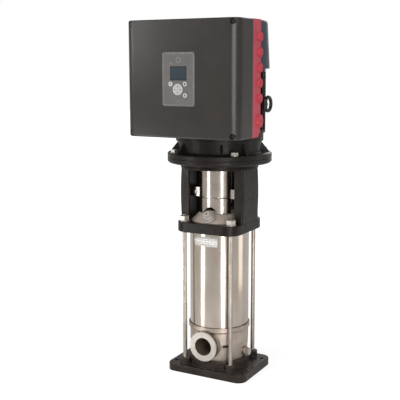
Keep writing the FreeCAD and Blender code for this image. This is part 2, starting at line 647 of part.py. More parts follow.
def vent():
    seat = "vent_seat - 0.8"
    body = fuse(tilted(cylinder("vent_radius + 3", "vent_seat"), "-0.8"),
                tilted(prism("vent_radius", "vent_length - vent_seat"), seat))
    stem = tilted(cylinder("vent_screw_radius + 2", "head_wall - 2"), "-head_wall + 2")
    bore = tilted(cylinder("vent_screw_radius + running_play", "vent_length + head_wall + 4"), "-head_wall")
    node("vent_plug", cut(fuse(body, stem), bore, dome_block()))
    top = "vent_length - 0.8 + key_gap"
    screw = fuse(tilted(cylinder("vent_screw_radius", "vent_length"), "key_gap - 0.8"),
                 tilted(cylinder("vent_screw_head", "vent_screw_cap"), top))
    socket = tilted(prism("socket_radius", "vent_screw_cap"), f"{top} + vent_screw_cap / 2")
    node("vent_screw", cut(screw, socket))


def dome_block():
    """The space that the solid of the dome fills outside the vent's tapped hole."""
    cone = revolved([("0", "dome_low - 6"), ("dome_radius", "dome_low - 6"), ("dome_radius", "dome_low"),
                     ("dome_top_radius", "dome_top"), ("0", "dome_top")])
    return cut(cone, tilted(cylinder("vent_screw_radius + 2", "head_wall + 6"), -6))


def shaft_seal():
    bore = "pump_shaft + seal_sleeve_wall + free_play"
    cartridge = revolved([
        (bore, "seal_seat - seal_spigot"), ("seal_bore", "seal_seat - seal_spigot"),
        ("seal_bore", "seal_seat"), ("seal_flange_radius", "seal_seat"),
        ("seal_flange_radius", "seal_seat + seal_flange"), (bore, "seal_seat + seal_flange")])
    node("seal_cartridge", cartridge)
    foot, face = "seal_seat - seal_spigot - seal_ring_height", "seal_seat - seal_spigot - free_play"
    rim, top = "seal_seat + seal_flange + free_play", "seal_seat + seal_flange + seal_collar_height"
    node("seal_rotor", revolved([
        ("pump_shaft", foot), ("pump_shaft + seal_ring_wall", foot), ("pump_shaft + seal_ring_wall", face),
        ("pump_shaft + seal_sleeve_wall", face), ("pump_shaft + seal_sleeve_wall", rim),
        ("pump_shaft + seal_collar_wall", rim), ("pump_shaft + seal_collar_wall", top),
        ("pump_shaft", top)]))


def motor_stool():
    """The cast stool: square foot, two side legs with open windows, round neck and motor disc."""
    foot = padded("XY", "flange_height", rectangle("flange_half", "flange_half"), lift="flange_low")
    dressed(foot, "Fillet", "flange_corner", is_upright)
    dressed(foot, "Fillet", "flange_edge",
            lambda e: lies_at(e, num("flange_top")) or lies_at(e, num("flange_low")))
    crown = revolved([
        ("neck_bore", "window_top"), ("neck_radius", "window_top"),
        ("neck_radius - neck_groove", "window_top + neck_step"),
        ("neck_radius + 1", "window_top + neck_step"),
        ("neck_radius + 1", "stool_disc_low"), ("disc_radius - 4", "stool_disc_low"),
        ("disc_radius", "stool_disc_low + 4"), ("disc_radius", "motor_seat - disc_edge"),
        ("disc_radius - disc_edge", "motor_seat"), ("register_radius", "motor_seat"),
        ("register_radius", "motor_seat - register_depth"), ("neck_bore", "motor_seat - register_depth")])
    leg = stool_leg()
    lugs = [box("leg_outer - lug_inset - 5", f"2 * {GUARD_EDGE}", "ear_height",
                "lug_inset" if a > 0 else "5 - leg_outer", f"-{GUARD_EDGE}", "guard_low + ear_rise")
            for a in SIDES]
    lug_taps = [cylinder("guard_screw", "guard_screw_depth",
                         f"{a} * (guard_radius * sin(guard_half_angle) + guard_ear - ear_screw_inset)",
                         f"{b} * {GUARD_EDGE}", "guard_low + ear_rise + ear_height / 2",
                         "-Y" if b > 0 else "+Y") for a, b in CORNERS]
    mouth = cylinder("head_radius + spigot_play", "head_top - flange_low", z="flange_low")
    throat = cylinder("dome_radius + spigot_play", "flange_height", z="flange_low")
    rods = at_corners(lambda a, b: cylinder("rod_radius + rod_hole_play", "flange_height",
                                            f"{a} * rod_offset", f"{b} * rod_offset", "flange_low"))
    bolts = at_corners(lambda a, b: cylinder(
        "flange_bolt + 0.5", "disc_height", f"{a} * flange_bolt_circle * cos(45)",
        f"{b} * flange_bolt_circle * cos(45)", "stool_disc_low"))
    frame = fuse(foot, leg, mirrored(leg, X_AXIS), crown, *lugs)
    node("motor_stool", cut(frame, mouth, throat, *rods, *bolts, *lug_taps))


def stool_leg():
    """One leg: a bowed wall with a rib along each edge, open towards the coupling."""
    bow = "((window_height ^ 2 / 4 + leg_bow ^ 2) / (2 * leg_bow))"
    leg = padded("XZ", "2 * leg_half_depth", [
        ("leg_inner", "flange_top"), ("leg_outer", "flange_top"), ("leg_outer", "window_top", bow, 1),
        ("leg_inner", "window_top")], lift="-leg_half_depth")
    dressed(leg, "Fillet", "leg_edge",
            lambda e: e.BoundBox.ZLength > 100 and e.BoundBox.XMax > num("leg_inner") + 1)
    channel = box("leg_outer - leg_wall - leg_inner + 1", "2 * (leg_half_depth - leg_wall)",
                  "window_height - leg_wall", "leg_inner - 1", "leg_wall - leg_half_depth", "flange_top")
    return cut(leg, channel)


def guard(side):
    """A half-round sheet guard with an ear each side; side -1 is the front."""
    bead_low = "guard_low + bead_rise"
    sheet_metal = revolved([
        ("guard_radius", "guard_low"), ("guard_radius + guard_wall", "guard_low"),
        ("guard_radius + guard_wall", f"{bead_low} - 2 * bead"),
        ("guard_radius + guard_wall + bead", bead_low),
        ("guard_radius + guard_wall", f"{bead_low} + 2 * bead"),
        ("guard_radius + guard_wall", "guard_low + guard_height"),
        ("guard_radius", "guard_low + guard_height")])
    reach = "(guard_radius + guard_wall + 2 * bead)"
    half = box(f"2 * {reach}", f"{reach} - {GUARD_EDGE}", "guard_height", f"-{reach}",
               f"-{reach}" if side < 0 else GUARD_EDGE, "guard_low")
    ears = []
    for a in SIDES:
        foot = "(guard_radius * sin(guard_half_angle))"
        ear = box("guard_ear", "guard_wall", "ear_height", foot if a > 0 else f"-{foot} - guard_ear",
                  f"-{GUARD_EDGE} - guard_wall" if side < 0 else GUARD_EDGE, "guard_low + ear_rise")
        hole = cylinder("guard_screw", "4 * guard_wall", f"{a} * ({foot} + guard_ear - ear_screw_inset)",
                        f"{side} * {GUARD_EDGE} - 2 * guard_wall",
                        "guard_low + ear_rise + ear_height / 2", "+Y")
        ears.append(cut(ear, hole))
    whole = fuse(common(sheet_metal, half), *ears)
    if side > 0:
        return whole
    notch = cylinder("notch_radius", "guard_radius", y="-guard_radius - 10", along="+Y",
                     z="vent_base + vent_length * cos(dome_slope)")
    return cut(whole, notch)


def guard_screws():
    pieces = []
    for side in SIDES:
        for a in SIDES:
            x = f"{a} * (guard_radius * sin(guard_half_angle) + guard_ear - ear_screw_inset)"
            z = "guard_low + ear_rise + ear_height / 2"
            along = "+Y" if side > 0 else "-Y"
            pieces.append(fuse(
                cylinder("guard_screw", "guard_wall + guard_screw_depth", x,
                         f"{side} * ({GUARD_EDGE} - guard_screw_depth)", z, along),
                prism("guard_screw * 2", "guard_screw", x,
                      f"{side} * ({GUARD_EDGE} + guard_wall)", z, along)))
    return group(*pieces)


def guards():
    node("guard_front", guard(-1))
    node("guard_rear", guard(1))
    node("guard_screws", guard_screws())


def flange_bolts():
    """Hexagon bolts through the motor flange, with nuts under the stool's disc."""
    pieces = []
    for a, b in CORNERS:
        x, y = f"{a} * flange_bolt_circle * cos(45)", f"{b} * flange_bolt_circle * cos(45)"
        low = "(stool_disc_low - flange_bolt_head)"
        pieces.append(fuse(
            cylinder("flange_bolt", f"disc_top - {low} + flange_washer", x, y, f"{low} - flange_washer"),
            cylinder("flange_bolt_key + flange_washer_proud", "flange_washer", x, y, "disc_top"),
            prism("flange_bolt_key", "flange_bolt_head", x, y, "disc_top + flange_washer"),
            prism("flange_bolt_key", "flange_bolt_head", x, y, low)))
    node("flange_bolts", group(*pieces))


def motor_flange():
    """The motor's drive-end casting: disc, ribbed neck, step and bearing seat."""
    seat = "bearing_low_seat"
    shell = revolved([
        ("motor_shaft + 2", "motor_seat - register_depth + 0.5"),
        ("register_radius", "motor_seat - register_depth + 0.5"), ("register_radius", "motor_seat"),
        ("disc_radius - disc_edge", "motor_seat"), ("disc_radius", "motor_seat + disc_edge"),
        ("disc_radius", "disc_top - 2"), ("disc_radius - 2", "disc_top"), ("motor_neck + 3", "disc_top"),
        ("motor_neck", "disc_top + 4"), ("motor_neck", "neck_top"), ("motor_step", "neck_top"),
        ("motor_step", "stator_low"), ("stator_bore", "stator_low"), ("stator_bore - 4", "disc_top + 12"),
        ("bearing_low_radius + 10", "disc_top + 4"),
        ("bearing_low_radius + 10", f"{seat} + bearing_low_width"),
        ("bearing_low_radius", f"{seat} + bearing_low_width"), ("bearing_low_radius", seat),
        ("motor_shaft + 2", seat)])
    gussets = []
    for quarter in range(4):
        for side in SIDES:
            angle = 45 + 90 * quarter + side * num("gusset_turn")
            gussets.append(gusset(angle))
    holes = at_corners(lambda a, b: cylinder(
        "flange_bolt", "motor_disc_height", f"{a} * flange_bolt_circle * cos(45)",
        f"{b} * flange_bolt_circle * cos(45)", "motor_seat"))
    node("motor_flange", cut(fuse(shell, *gussets), *holes))


def gusset(angle):
    """One triangular web between the neck and the disc."""
    web = padded("XZ", "gusset_thickness", [
        ("motor_neck - gusset_tuck", "disc_top - 2"), ("disc_radius - gusset_toe / 2", "disc_top - 2"),
        ("disc_radius - gusset_toe", "disc_top"), ("motor_neck", "neck_top - gusset_drop"),
        ("motor_neck - gusset_tuck", "neck_top - gusset_drop")],
        lift="-gusset_thickness / 2")
    return turned(web, angle)


def stator():
    """The finned motor frame with a plain band at each end and a lug for each lifting eye."""
    tube = cylinder("stator_root", "stator_length", z="stator_low")
    bands = [cylinder("stator_radius", "stator_band", z=z)
             for z in ("stator_low", "stator_top - stator_band")]
    count = int(round(num("fin_count")))
    blade = box("stator_radius - stator_root + 3", "fin_thickness", "stator_length",
                "stator_root - 3", "-fin_thickness / 2", "stator_low")
    fins = [turned(blade, 360 / count * (i + 0.5)) for i in range(count)]
    lugs, taps = [], []
    for a in SIDES:
        lugs.append(box("eye_side + eye_collar - stator_root", "lug_depth", "2 * lug_half",
                        "stator_root" if a > 0 else "-eye_side - eye_collar", "lug_back - lug_depth",
                        "stator_low + eye_height - lug_half"))
        taps.append(cylinder("eye_stem", "lug_depth", f"{a} * eye_side", "lug_back",
                             "stator_low + eye_height", "-Y"))
    bore = cylinder("stator_bore", "stator_length", z="stator_low")
    rim = cut(cylinder("stator_radius + 30", "stator_length", z="stator_low"),
              cylinder("stator_radius", "stator_length", z="stator_low"))
    finned = cut(fuse(tube, *bands, *fins), rim)
    node("stator_housing", cut(fuse(finned, *lugs), bore, *taps))
    node("stator_core", revolved([("core_bore", "core_low"), ("stator_bore", "core_low"),
                                  ("stator_bore", "core_top"), ("core_bore", "core_top")]))
    turns = []
    for low, high in (("core_low - winding_height", "core_low"), ("core_top", "core_top + winding_height")):
        turns.append(revolved([("winding_inner", low), ("winding_outer", low), ("winding_outer", high),
                               ("winding_inner", high)]))
    node("stator_windings", group(*turns))


def lifting_eyes():
    """Forged eyes that point backwards from the frame's lugs."""
    eyes = []
    for a in SIDES:
        x, z = f"{a} * eye_side", "stator_low + eye_height"
        eyes.append(fuse(
            cylinder("eye_stem", "lug_depth", x, "lug_back", z, "-Y"),
            cylinder("eye_collar", "eye_collar_height", x, "lug_back", z, "+Y"),
            ring("eye_ring", "eye_wire", x, "lug_back + eye_collar_height + eye_ring + eye_wire - 2", z,
                 (Y_AXIS, 90))))
    node("lifting_eyes", group(*eyes))


def end_shield():
    """The fan-end shield with the upper bearing seat and four lugs for the fan cover."""
    plate = revolved([
        ("bearing_top_shaft + 2", "stator_top - shield_lap"),
        ("bearing_top_radius + shield_hub", "stator_top - shield_lap"),
        ("bearing_top_radius + shield_hub", "stator_top"), ("shield_radius", "stator_top"),
        ("shield_radius", "shield_top - 4"), ("shield_radius - 4", "shield_top"),
        ("bearing_top_radius", "shield_top"), ("bearing_top_radius", "bearing_top_seat"),
        ("bearing_top_shaft + 2", "bearing_top_seat")])
    lug = box("lug_reach - shield_radius + 10", "lug_width", "shield_height - 4", "shield_radius - 10",
              "-lug_width / 2", "stator_top")
    tap = cylinder("cover_screw", "cover_screw_length + 2", "lug_reach + 1", 0,
                   "stator_top + cover_screw_rise", "-X")
    lugs = [turned(cut(lug, tap), 45 + 90 * i) for i in range(4)]
    node("end_shield", fuse(plate, *lugs))


def bearing(inner, outer, width, low):
    """The outer and inner races of a sealed ball bearing."""
    wide, tight = f"({outer} - race_wall)", f"({inner} + race_wall)"
    races = [revolved([
        (wide, low), (outer, low), (outer, f"{low} + {width}"), (wide, f"{low} + {width}"),
        (wide, f"{low} + {width} - 1"), (f"{tight} + free_play", f"{low} + {width} - 1"),
        (f"{tight} + free_play", f"{low} + {width} - 2"), (wide, f"{low} + {width} - 2"),
        (wide, f"{low} + 2"), (f"{tight} + free_play", f"{low} + 2"),
        (f"{tight} + free_play", f"{low} + 1"), (wide, f"{low} + 1")])]
    races.append(revolved([
        (inner, low), (tight, low), (tight, f"{low} + {width}"), (inner, f"{low} + {width}")]))
    return races


def bearings():
    lower = bearing("bearing_low_shaft", "bearing_low_radius", "bearing_low_width", "bearing_low_seat")
    upper = bearing("bearing_top_shaft", "bearing_top_radius", "bearing_top_width", "bearing_top_seat")
    node("bearing_outer_rings", group(lower[0], upper[0]))
    node("bearing_inner_rings", group(lower[1], upper[1]))


def rotor():
    node("motor_shaft", revolved([
        ("0", "shaft_meet + shaft_gap"), ("motor_shaft", "shaft_meet + shaft_gap"),
        ("motor_shaft", "bearing_low_seat"),
        ("bearing_low_shaft", "bearing_low_seat"),
        ("bearing_low_shaft", "bearing_low_seat + bearing_low_width"),
        ("rotor_shaft", "bearing_low_seat + bearing_low_width"),
        ("rotor_shaft", "bearing_top_seat - shield_hub"),
        ("bearing_top_shaft", "bearing_top_seat - shield_hub"),
        ("bearing_top_shaft", "bearing_top_seat + bearing_top_width"),
        ("fan_shaft", "bearing_top_seat + bearing_top_width"), ("fan_shaft", "fan_low + fan_height"),
        ("0", "fan_low + fan_height")]))
    node("rotor_core", revolved([
        ("rotor_shaft", "core_low"), ("core_bore - air_gap", "core_low"), ("core_bore - air_gap", "core_top"),
        ("rotor_shaft", "core_top")]))
    hub = revolved([
        ("fan_shaft", "fan_low"), ("fan_hub + 4", "fan_low"), ("fan_hub", "fan_low + fan_height"),
        ("fan_shaft", "fan_low + fan_height")])
    disc = cylinder("fan_radius", "fan_disc", z="fan_low")
    bore = cylinder("fan_shaft", "fan_disc", z="fan_low")
    count = int(round(num("fan_blades")))
    blade = box("fan_radius - fan_hub", "fan_blade", "fan_height - 2", "fan_hub - 2", "-fan_blade / 2",
                "fan_low + 1")
    blades = [turned(blade, 360 / count * i) for i in range(count)]
    node("fan", fuse(hub, cut(disc, bore), *blades))
    node("pump_shaft", cut(
        cylinder("pump_shaft", "shaft_meet - shaft_gap - stack_low + 6", z="stack_low - 6"),
        cylinder("pin_radius", "2 * pump_shaft", "-pump_shaft", 0,
                 "coupling_low + coupling_screw_inset", "+X")))


def coupling():
    """Two clamp halves that grip both shafts, drawn together by four screws."""
    for name, a in (("coupling_half_right", 1), ("coupling_half_left", -1)):
        body = cylinder("coupling_radius", "coupling_length", z="coupling_low")
        slab = box("coupling_radius + 1", "2 * coupling_radius + 2", "coupling_length",
                   "coupling_split" if a > 0 else "-coupling_split - coupling_radius - 1",
                   "-coupling_radius - 1", "coupling_low")
        wide = cylinder("motor_shaft", "coupling_length", z="shaft_meet")
        narrow = cylinder("pump_shaft", "coupling_length", z="coupling_low")
        pin = cylinder("pin_radius", "pin_length", "-pin_length / 2", 0, PIN_HEIGHT, "+X")
        holes = [cylinder("coupling_screw", "2 * coupling_radius", "-coupling_radius", y, z, "+X")
                 for y, z in SCREW_SPOTS]
        sinks = [cylinder("coupling_screw_head + 0.5", "coupling_radius", f"{a} * screw_seat", y, z,
                          "+X" if a > 0 else "-X") for y, z in SCREW_SPOTS]
        node(name, cut(common(body, slab), wide, narrow, pin, *holes, *sinks))
    screws = []
    for y, z in SCREW_SPOTS:
        screws.append(fuse(
            cylinder("coupling_screw", "2 * screw_seat + coupling_nut",
                     "-screw_seat - coupling_nut", y, z, "+X"),
            cylinder("coupling_screw_head", "coupling_screw_cap", "screw_seat", y, z, "+X"),
            prism("coupling_screw_head", "coupling_nut", "-screw_seat - coupling_nut", y, z, "+X")))
    node("coupling_screws", group(*screws))
    node("coupling_pin", cylinder("pin_radius", "pin_length", "-pin_length / 2", 0, PIN_HEIGHT, "+X"))


def fan_cover():
    """The pressed fan cover: tapered side, rounded top edge and a round grille."""
    low, top, wall = "stator_top", "fan_cover_top", "fan_cover_wall"
    shell = revolved([
        (f"cover_low_radius - {wall}", low), ("cover_low_radius", low),
        ("cover_top_radius", f"{top} - cover_edge"),
        ("cover_top_radius - cover_edge", top, "cover_edge * 1.05", 1),
        ("0", top), ("0", f"{top} - {wall}"), ("cover_top_radius - cover_edge - 1", f"{top} - {wall}"),
        (f"cover_top_radius - {wall}", f"{top} - cover_edge")])
    slots = []
    rings = int(round(num("grille_rings")))
    spokes = int(round(num("grille_spokes")))
    span = "(cover_top_radius - cover_edge - grille_edge - grille_inner)"
    for i in range(rings):
        inner = f"(grille_inner + {span} * {i} / grille_rings)"
        outer = f"(grille_inner + {span} * {i + 1} / grille_rings - grille_bar)"
        slots.append(revolved([(inner, f"{top} - 5"), (outer, f"{top} - 5"), (outer, f"{top} + 1"),
                               (inner, f"{top} + 1")]))
    bars = []
    for i in range(spokes // 2):
        bar = box("2 * cover_top_radius", "grille_bar", "8", "-cover_top_radius", "-grille_bar / 2",
                  f"{top} - 6")
        bars.append(turned(bar, 360 / spokes * i))
    openings = cut(fuse(*slots), *bars)
    height = f"{low} + cover_screw_rise"
    holes = [turned(cylinder("cover_screw", "30", "cover_low_radius - 20", 0, height, "+X"), 45 + 90 * i)
             for i in range(4)]
    node("fan_cover", cut(shell, openings, *holes))
    screws = []
    for i in range(4):
        stem = cylinder("cover_screw", "cover_screw_length",
                        "cover_low_radius - cover_screw_length", 0, height, "+X")
        head = cylinder("cover_screw_head", "cover_screw_cap", "cover_low_radius", 0, height, "+X")
        screws.append(turned(fuse(stem, head), 45 + 90 * i))
    node("fan_cover_screws", group(*screws))


def plan(half, front, back, corner):
    """The plan outline of the box: square at the back, rounded at the two front edges."""
    return [(f"{half}", f"-{back}"), (f"-{half}", f"-{back}"), (f"-{half}", f"-{front} + {corner}"),
            (f"-{half} + {corner}", f"-{front}", corner, 1), (f"{half} - {corner}", f"-{front}"),
            (f"{half}", f"-{front} + {corner}", corner, 1)]


def cover_bolts(make):
    return [make(f"{a} * cover_bolt_side", z) for a in SIDES
            for z in ("box_low + cover_bolt_inset", "box_top - cover_bolt_inset")]


def control_box():
    """The deep front cover, the back housing that saddles the motor, and what lies between."""
    outer = padded("XY", "box_height",
                   plan("box_half", "box_front", "box_seam", "box_corner"), lift="box_low")
    level = lambda e: lies_at(e, num("box_low")) or lies_at(e, num("box_top"))
    dressed(outer, "Fillet", "box_edge", lambda e: level(e) and e.BoundBox.YMin < -num("box_seam") - 1)
    inner = padded("XY", "box_height - 2 * box_wall", plan(
        "(box_half - box_wall)", "(box_front - box_wall)", "(box_seam - 1)", "(box_corner - box_wall)"),
        lift="box_low + box_wall")
    bosses = cover_bolts(lambda x, z: cylinder(
        "cover_bolt_boss", "box_front - cover_bolt_depth - box_seam", x, "-box_seam", z, "-Y"))
    recesses = cover_bolts(lambda x, z: cylinder(
        "cover_bolt_recess", "cover_bolt_depth + 1", x, "-box_front + cover_bolt_depth", z, "-Y"))
    holes = cover_bolts(lambda x, z: cylinder(
        "cover_bolt", "cover_depth", x, "-box_seam + 1", z, "-Y"))
    opening = panel_plate("panel_lip", "box_front - box_wall - 1", "box_wall + 2")
    seat = panel_plate("0", "panel_back", "box_front - panel_back + 1")
    shell = common(fuse(cut(outer, inner), *bosses), outer)
    node("front_cover", cut(shell, *recesses, *holes, seat, opening))
    screws = cover_bolts(lambda x, z: fuse(
        cylinder("cover_bolt", "cover_depth - cover_bolt_depth + cover_bolt_grip", x,
                 "cover_bolt_grip - box_seam", z, "-Y"),
        cylinder("cover_bolt_key", "cover_bolt_head", x, "-box_front + cover_bolt_depth", z, "-Y")))
    node("cover_screws", group(*screws))


def housing():
    """The back housing: an open tray whose floor is a saddle round the motor frame."""
    half = "(box_half - panel_thickness)"
    seam = "(box_seam - gasket)"
    depth = f"({seam} - box_back)"
    block = box(f"2 * {half}", depth, "box_height", f"-{half}", f"-{seam}", "box_low")
    room = box(f"2 * ({half} - box_wall)", f"{depth} - box_wall + 1", "box_height - 2 * box_wall",
               f"-({half} - box_wall)", f"-{seam} - 1", "box_low + box_wall")
    bulge = cylinder("stator_radius + saddle_play + saddle_wall", "box_height", z="box_low")
    saddle = cylinder("stator_radius + saddle_play", "box_height", z="box_low")
    upper = cone("cover_low_radius + cover_play", "cover_top_radius + cover_gap", "box_top - stator_top + 1",
                 "stator_top - 1")
    upper_wall = cone("cover_low_radius + cover_play + saddle_wall",
                      "cover_top_radius + cover_gap + saddle_wall",
                      "box_top - stator_top + 1 + saddle_wall", "stator_top - 1 - saddle_wall")
    brow = common(upper_wall, box("box_half", "brow_depth",
                                  "box_top - stator_top + saddle_wall - gasket_width",
                                  "-box_half / 2", f"-{seam} - brow_inset", "stator_top - 1 - saddle_wall"))
    bosses = cover_bolts(lambda x, z: cylinder("cover_bolt_boss", depth, x, f"-{seam}", z, "+Y"))
    taps = cover_bolts(lambda x, z: cylinder(
        "cover_bolt", "cover_bolt_grip", x, "cover_bolt_grip - box_seam", z, "-Y"))
    standoffs = [cylinder("standoff", "box_seam + board_gap - box_back - box_wall",
                          f"{a} * (board_width / 2 - standoff_inset)", "-box_back - box_wall",
                          f"box_low + box_height / 2 + {b} * (board_tall / 2 - standoff_inset)", "-Y")
                 for a, b in CORNERS]
    tray = fuse(cut(block, cut(room, bulge, upper_wall)), *(common(b, block) for b in bosses))
    node("drive_housing", cut(cut(fuse(tray, brow, *standoffs), upper), saddle, *taps))
    frame = cut(box(f"2 * {half}", "gasket", "box_height", f"-{half}", "-box_seam", "box_low"),
                box(f"2 * ({half} - gasket_width)", "gasket", "box_height - 2 * gasket_width",
                    f"-({half} - gasket_width)", "-box_seam", "box_low + gasket_width"))
    node("cover_gasket", cut(frame, *cover_bolts(lambda x, z: cylinder(
        "cover_bolt", "gasket", x, "-box_seam", z, "+Y"))))
    node("circuit_board", circuit_board())


def circuit_board():
    """The drive's board with its capacitors, choke and terminal row."""
    face = "(-box_seam - board_gap - board_thickness)"
    edge = "(board_width / 2)"
    board = box("board_width", "board_thickness", "board_tall", f"-{edge}", face,
                "box_low + (box_height - board_tall) / 2")
    cans = [cylinder("can_radius", "can_length", f"can_inset + {i} * can_pitch - {edge}", face,
                     "box_low + can_rise", "-Y") for i in range(int(round(num("can_count"))))]
    choke = box("choke_width", "choke_depth", "choke_height", f"{edge} - choke_inset - choke_width",
                f"{face} - choke_depth", "box_low + choke_rise")
    terminals = box("terminal_width", "terminal_depth", "terminal_height",
                    f"{edge} - terminal_inset - terminal_width", f"{face} - terminal_depth",
                    "box_low + terminal_rise")
    return fuse(board, *cans, choke, terminals)


def entries():
    """Radius and height of each cable entry on the right side."""
    count = int(round(num("entry_count")))
    spots = [("entry_radius", f"box_low + entry_first - {i} * entry_pitch") for i in range(count)]
    return spots + [("entry_large", "box_low + entry_last")]


def side_panels():
    """The coloured side panels; the right one carries the round cable entries."""
    low = "box_low + side_lift"
    face = [("-box_seam", low), ("-box_back - side_corner", low), ("-box_back", f"{low} + side_corner"),
            ("-box_back", "box_top"), ("-box_seam", "box_top")]
    panels = []
    for side in SIDES:
        start = "box_half - panel_thickness" if side > 0 else "-box_half"
        panels.append(padded("YZ", "panel_thickness", face, lift=start))
    right = panels[1]
    bosses = [cylinder(radius, "panel_thickness + entry_boss", "box_half - panel_thickness", "-entry_depth",
                       z, "+X") for radius, z in entries()]
    bores = [cylinder(f"{radius} * plug_ratio", "panel_thickness + entry_boss", "box_half - panel_thickness",
                      "-entry_depth", z, "+X") for radius, z in entries()]
    node("side_panels", group(panels[0], cut(fuse(right, *bosses), *bores)))
    plugs = [cylinder(f"{radius} * plug_ratio", "panel_thickness + entry_boss + plug_proud",
                      "box_half - panel_thickness", "-entry_depth", z, "+X") for radius, z in entries()]
    slots = [box("plug_proud + 1", f"{radius} * plug_ratio * 1.4", "plug_slot", "box_half + entry_boss - 1",
                 f"-entry_depth - {radius} * plug_ratio * 0.7", f"{z} - plug_slot / 2")
             for radius, z in entries()]
    node("cable_plugs", cut(group(*plugs), *slots))


def front_disc(radius, thickness, face, x, z):
    """A round piece whose front lies face millimetres in front of the axis."""
    return cylinder(radius, thickness, x, f"-({face}) + {thickness}", z, "-Y")


def panel_plate(inset, back, thickness):
    """A plate with the operating panel's outline, drawn in by inset, its rear at back."""
    plate = padded("XZ", thickness, rectangle(
        f"panel_width / 2 - {inset}", f"panel_tall / 2 - {inset}", "panel_x", "panel_z"), lift=back)
    return dressed(plate, "Fillet", f"panel_corner - {inset}", lambda e: e.BoundBox.YLength > 0.5)


def operating_panel():
    half, tall = "panel_width / 2", "panel_tall / 2"
    blank = panel_plate("frame_width", "panel_back", "panel_board")
    glass_seat = box("window_width", "window_thickness", "window_tall", "panel_x - window_width / 2",
                     "-panel_face", "window_z - window_tall / 2")
    light_seat = cut(front_disc("light_radius", "light_depth", "panel_face", "panel_x", "light_z"),
                     front_disc("light_radius - light_wall", "light_depth",
                                "panel_face", "panel_x", "light_z"))
    key_holes = [front_disc("key_radius + key_gap", "panel_board", "panel_face", x, z)
                 for x, z in ROUND_KEYS.values()]
    dial_hole = front_disc("dial_radius + key_gap", "panel_board", "panel_face", "dial_x", "dial_z")
    node("control_panel", cut(blank, glass_seat, light_seat, *key_holes, dial_hole))
    depth = "panel_board + frame_proud - panel_proud"
    node("panel_frame", cut(panel_plate("0", "panel_back", depth),
                            panel_plate("frame_width", "panel_back", depth)))
    node("display_window", box("window_width", "window_thickness", "window_tall",
                               "panel_x - window_width / 2", "-panel_face", "window_z - window_tall / 2"))
    node("status_light", cut(
        front_disc("light_radius", "light_depth", "panel_face", "panel_x", "light_z"),
        front_disc("light_radius - light_wall", "light_depth", "panel_face", "panel_x", "light_z")))
    board = box("panel_width", "board_thickness", "panel_tall", f"panel_x - {half}", "-keypad_face",
                f"panel_z - {tall}")
    spacer = cut(
        box("panel_width", "box_front - box_wall - keypad_face", "panel_tall", f"panel_x - {half}",
            "box_wall - box_front", f"panel_z - {tall}"),
        box("panel_width - 2 * panel_lip", "2 * box_wall", "panel_tall - 2 * panel_lip",
            f"panel_x - {half} + panel_lip", "-box_front", f"panel_z - {tall} + panel_lip"))
    node("keypad_board", fuse(board, spacer))


ROUND_KEYS = {"key_back": ("left_key_x", "upper_key_z"), "key_home": ("right_key_x", "upper_key_z"),
              "key_info": ("right_key_x", "lower_key_z")}
DIAL_KEYS = {"key_right": 0, "key_up": 90, "key_left": 180, "key_down": 270}


def keys():
    for name, (x, z) in ROUND_KEYS.items():
        node(name, fuse(front_disc("key_radius", "key_face - key_back", "key_face", x, z),
                        front_disc("key_radius + key_gap + 1", "key_flange", "key_back + key_flange", x, z)))
    node("key_ok", fuse(front_disc("ok_radius", "key_face - key_back", "key_face", "dial_x", "dial_z"),
                        front_disc("ok_radius", "key_flange", "key_back + key_flange", "dial_x", "dial_z")))
    for name, angle in DIAL_KEYS.items():
        node(name, dial_key(angle))


def dial_key(angle):
    """A quarter of the dial's ring."""
    ring_body = cut(
        front_disc("dial_radius", "key_face - key_back", "key_face", "dial_x", "dial_z"),
        front_disc("ok_radius + dial_gap", "key_face - key_back", "key_face", "dial_x", "dial_z"))
    wedge = box("dial_radius * 2", "key_face - key_back", "dial_radius * 2",
                "dial_x + dial_gap * sqrt(0.5)", "-key_face", "dial_z", (Y_AXIS, 45))
    wedge.Placement.Rotation = FreeCAD.Rotation(Y_AXIS, 45 - angle)
    put(wedge, f"dial_x + dial_gap * sqrt(0.5) * cos({angle})", "-key_face",
        f"dial_z + dial_gap * sqrt(0.5) * sin({angle})")
    return common(ring_body, wedge)


base_plate()
pump_base()
drain_plug()
staybolts()
sleeve_and_rings()
hydraulics()
pump_head()
vent()
shaft_seal()
motor_stool()
guards()
flange_bolts()
motor_flange()
stator()
lifting_eyes()
end_shield()
bearings()
rotor()
coupling()
fan_cover()
control_box()
housing()
side_panels()
operating_panel()
keys()
doc.recompute()

failed = [o.Name for o in doc.Objects if "Invalid" in o.State or "Error" in o.State]
if failed:
    raise RuntimeError("these objects did not build: " + ", ".join(failed))
for piece in NODES:
    if piece.Shape.isNull() or not piece.Shape.isValid() or not piece.Shape.Solids:
        raise RuntimeError(piece.Label + " has no valid solid")
os.makedirs("parts", exist_ok=True)
for piece in NODES:
    piece.Shape.exportStep(f"parts/{piece.Label}.step")
print(len(NODES), "sub-parts written")
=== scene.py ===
"""The looks of a vertical multistage pump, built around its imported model. Everything is in metres."""

import json
import math

import bpy
from mathutils import Euler, Matrix, Vector

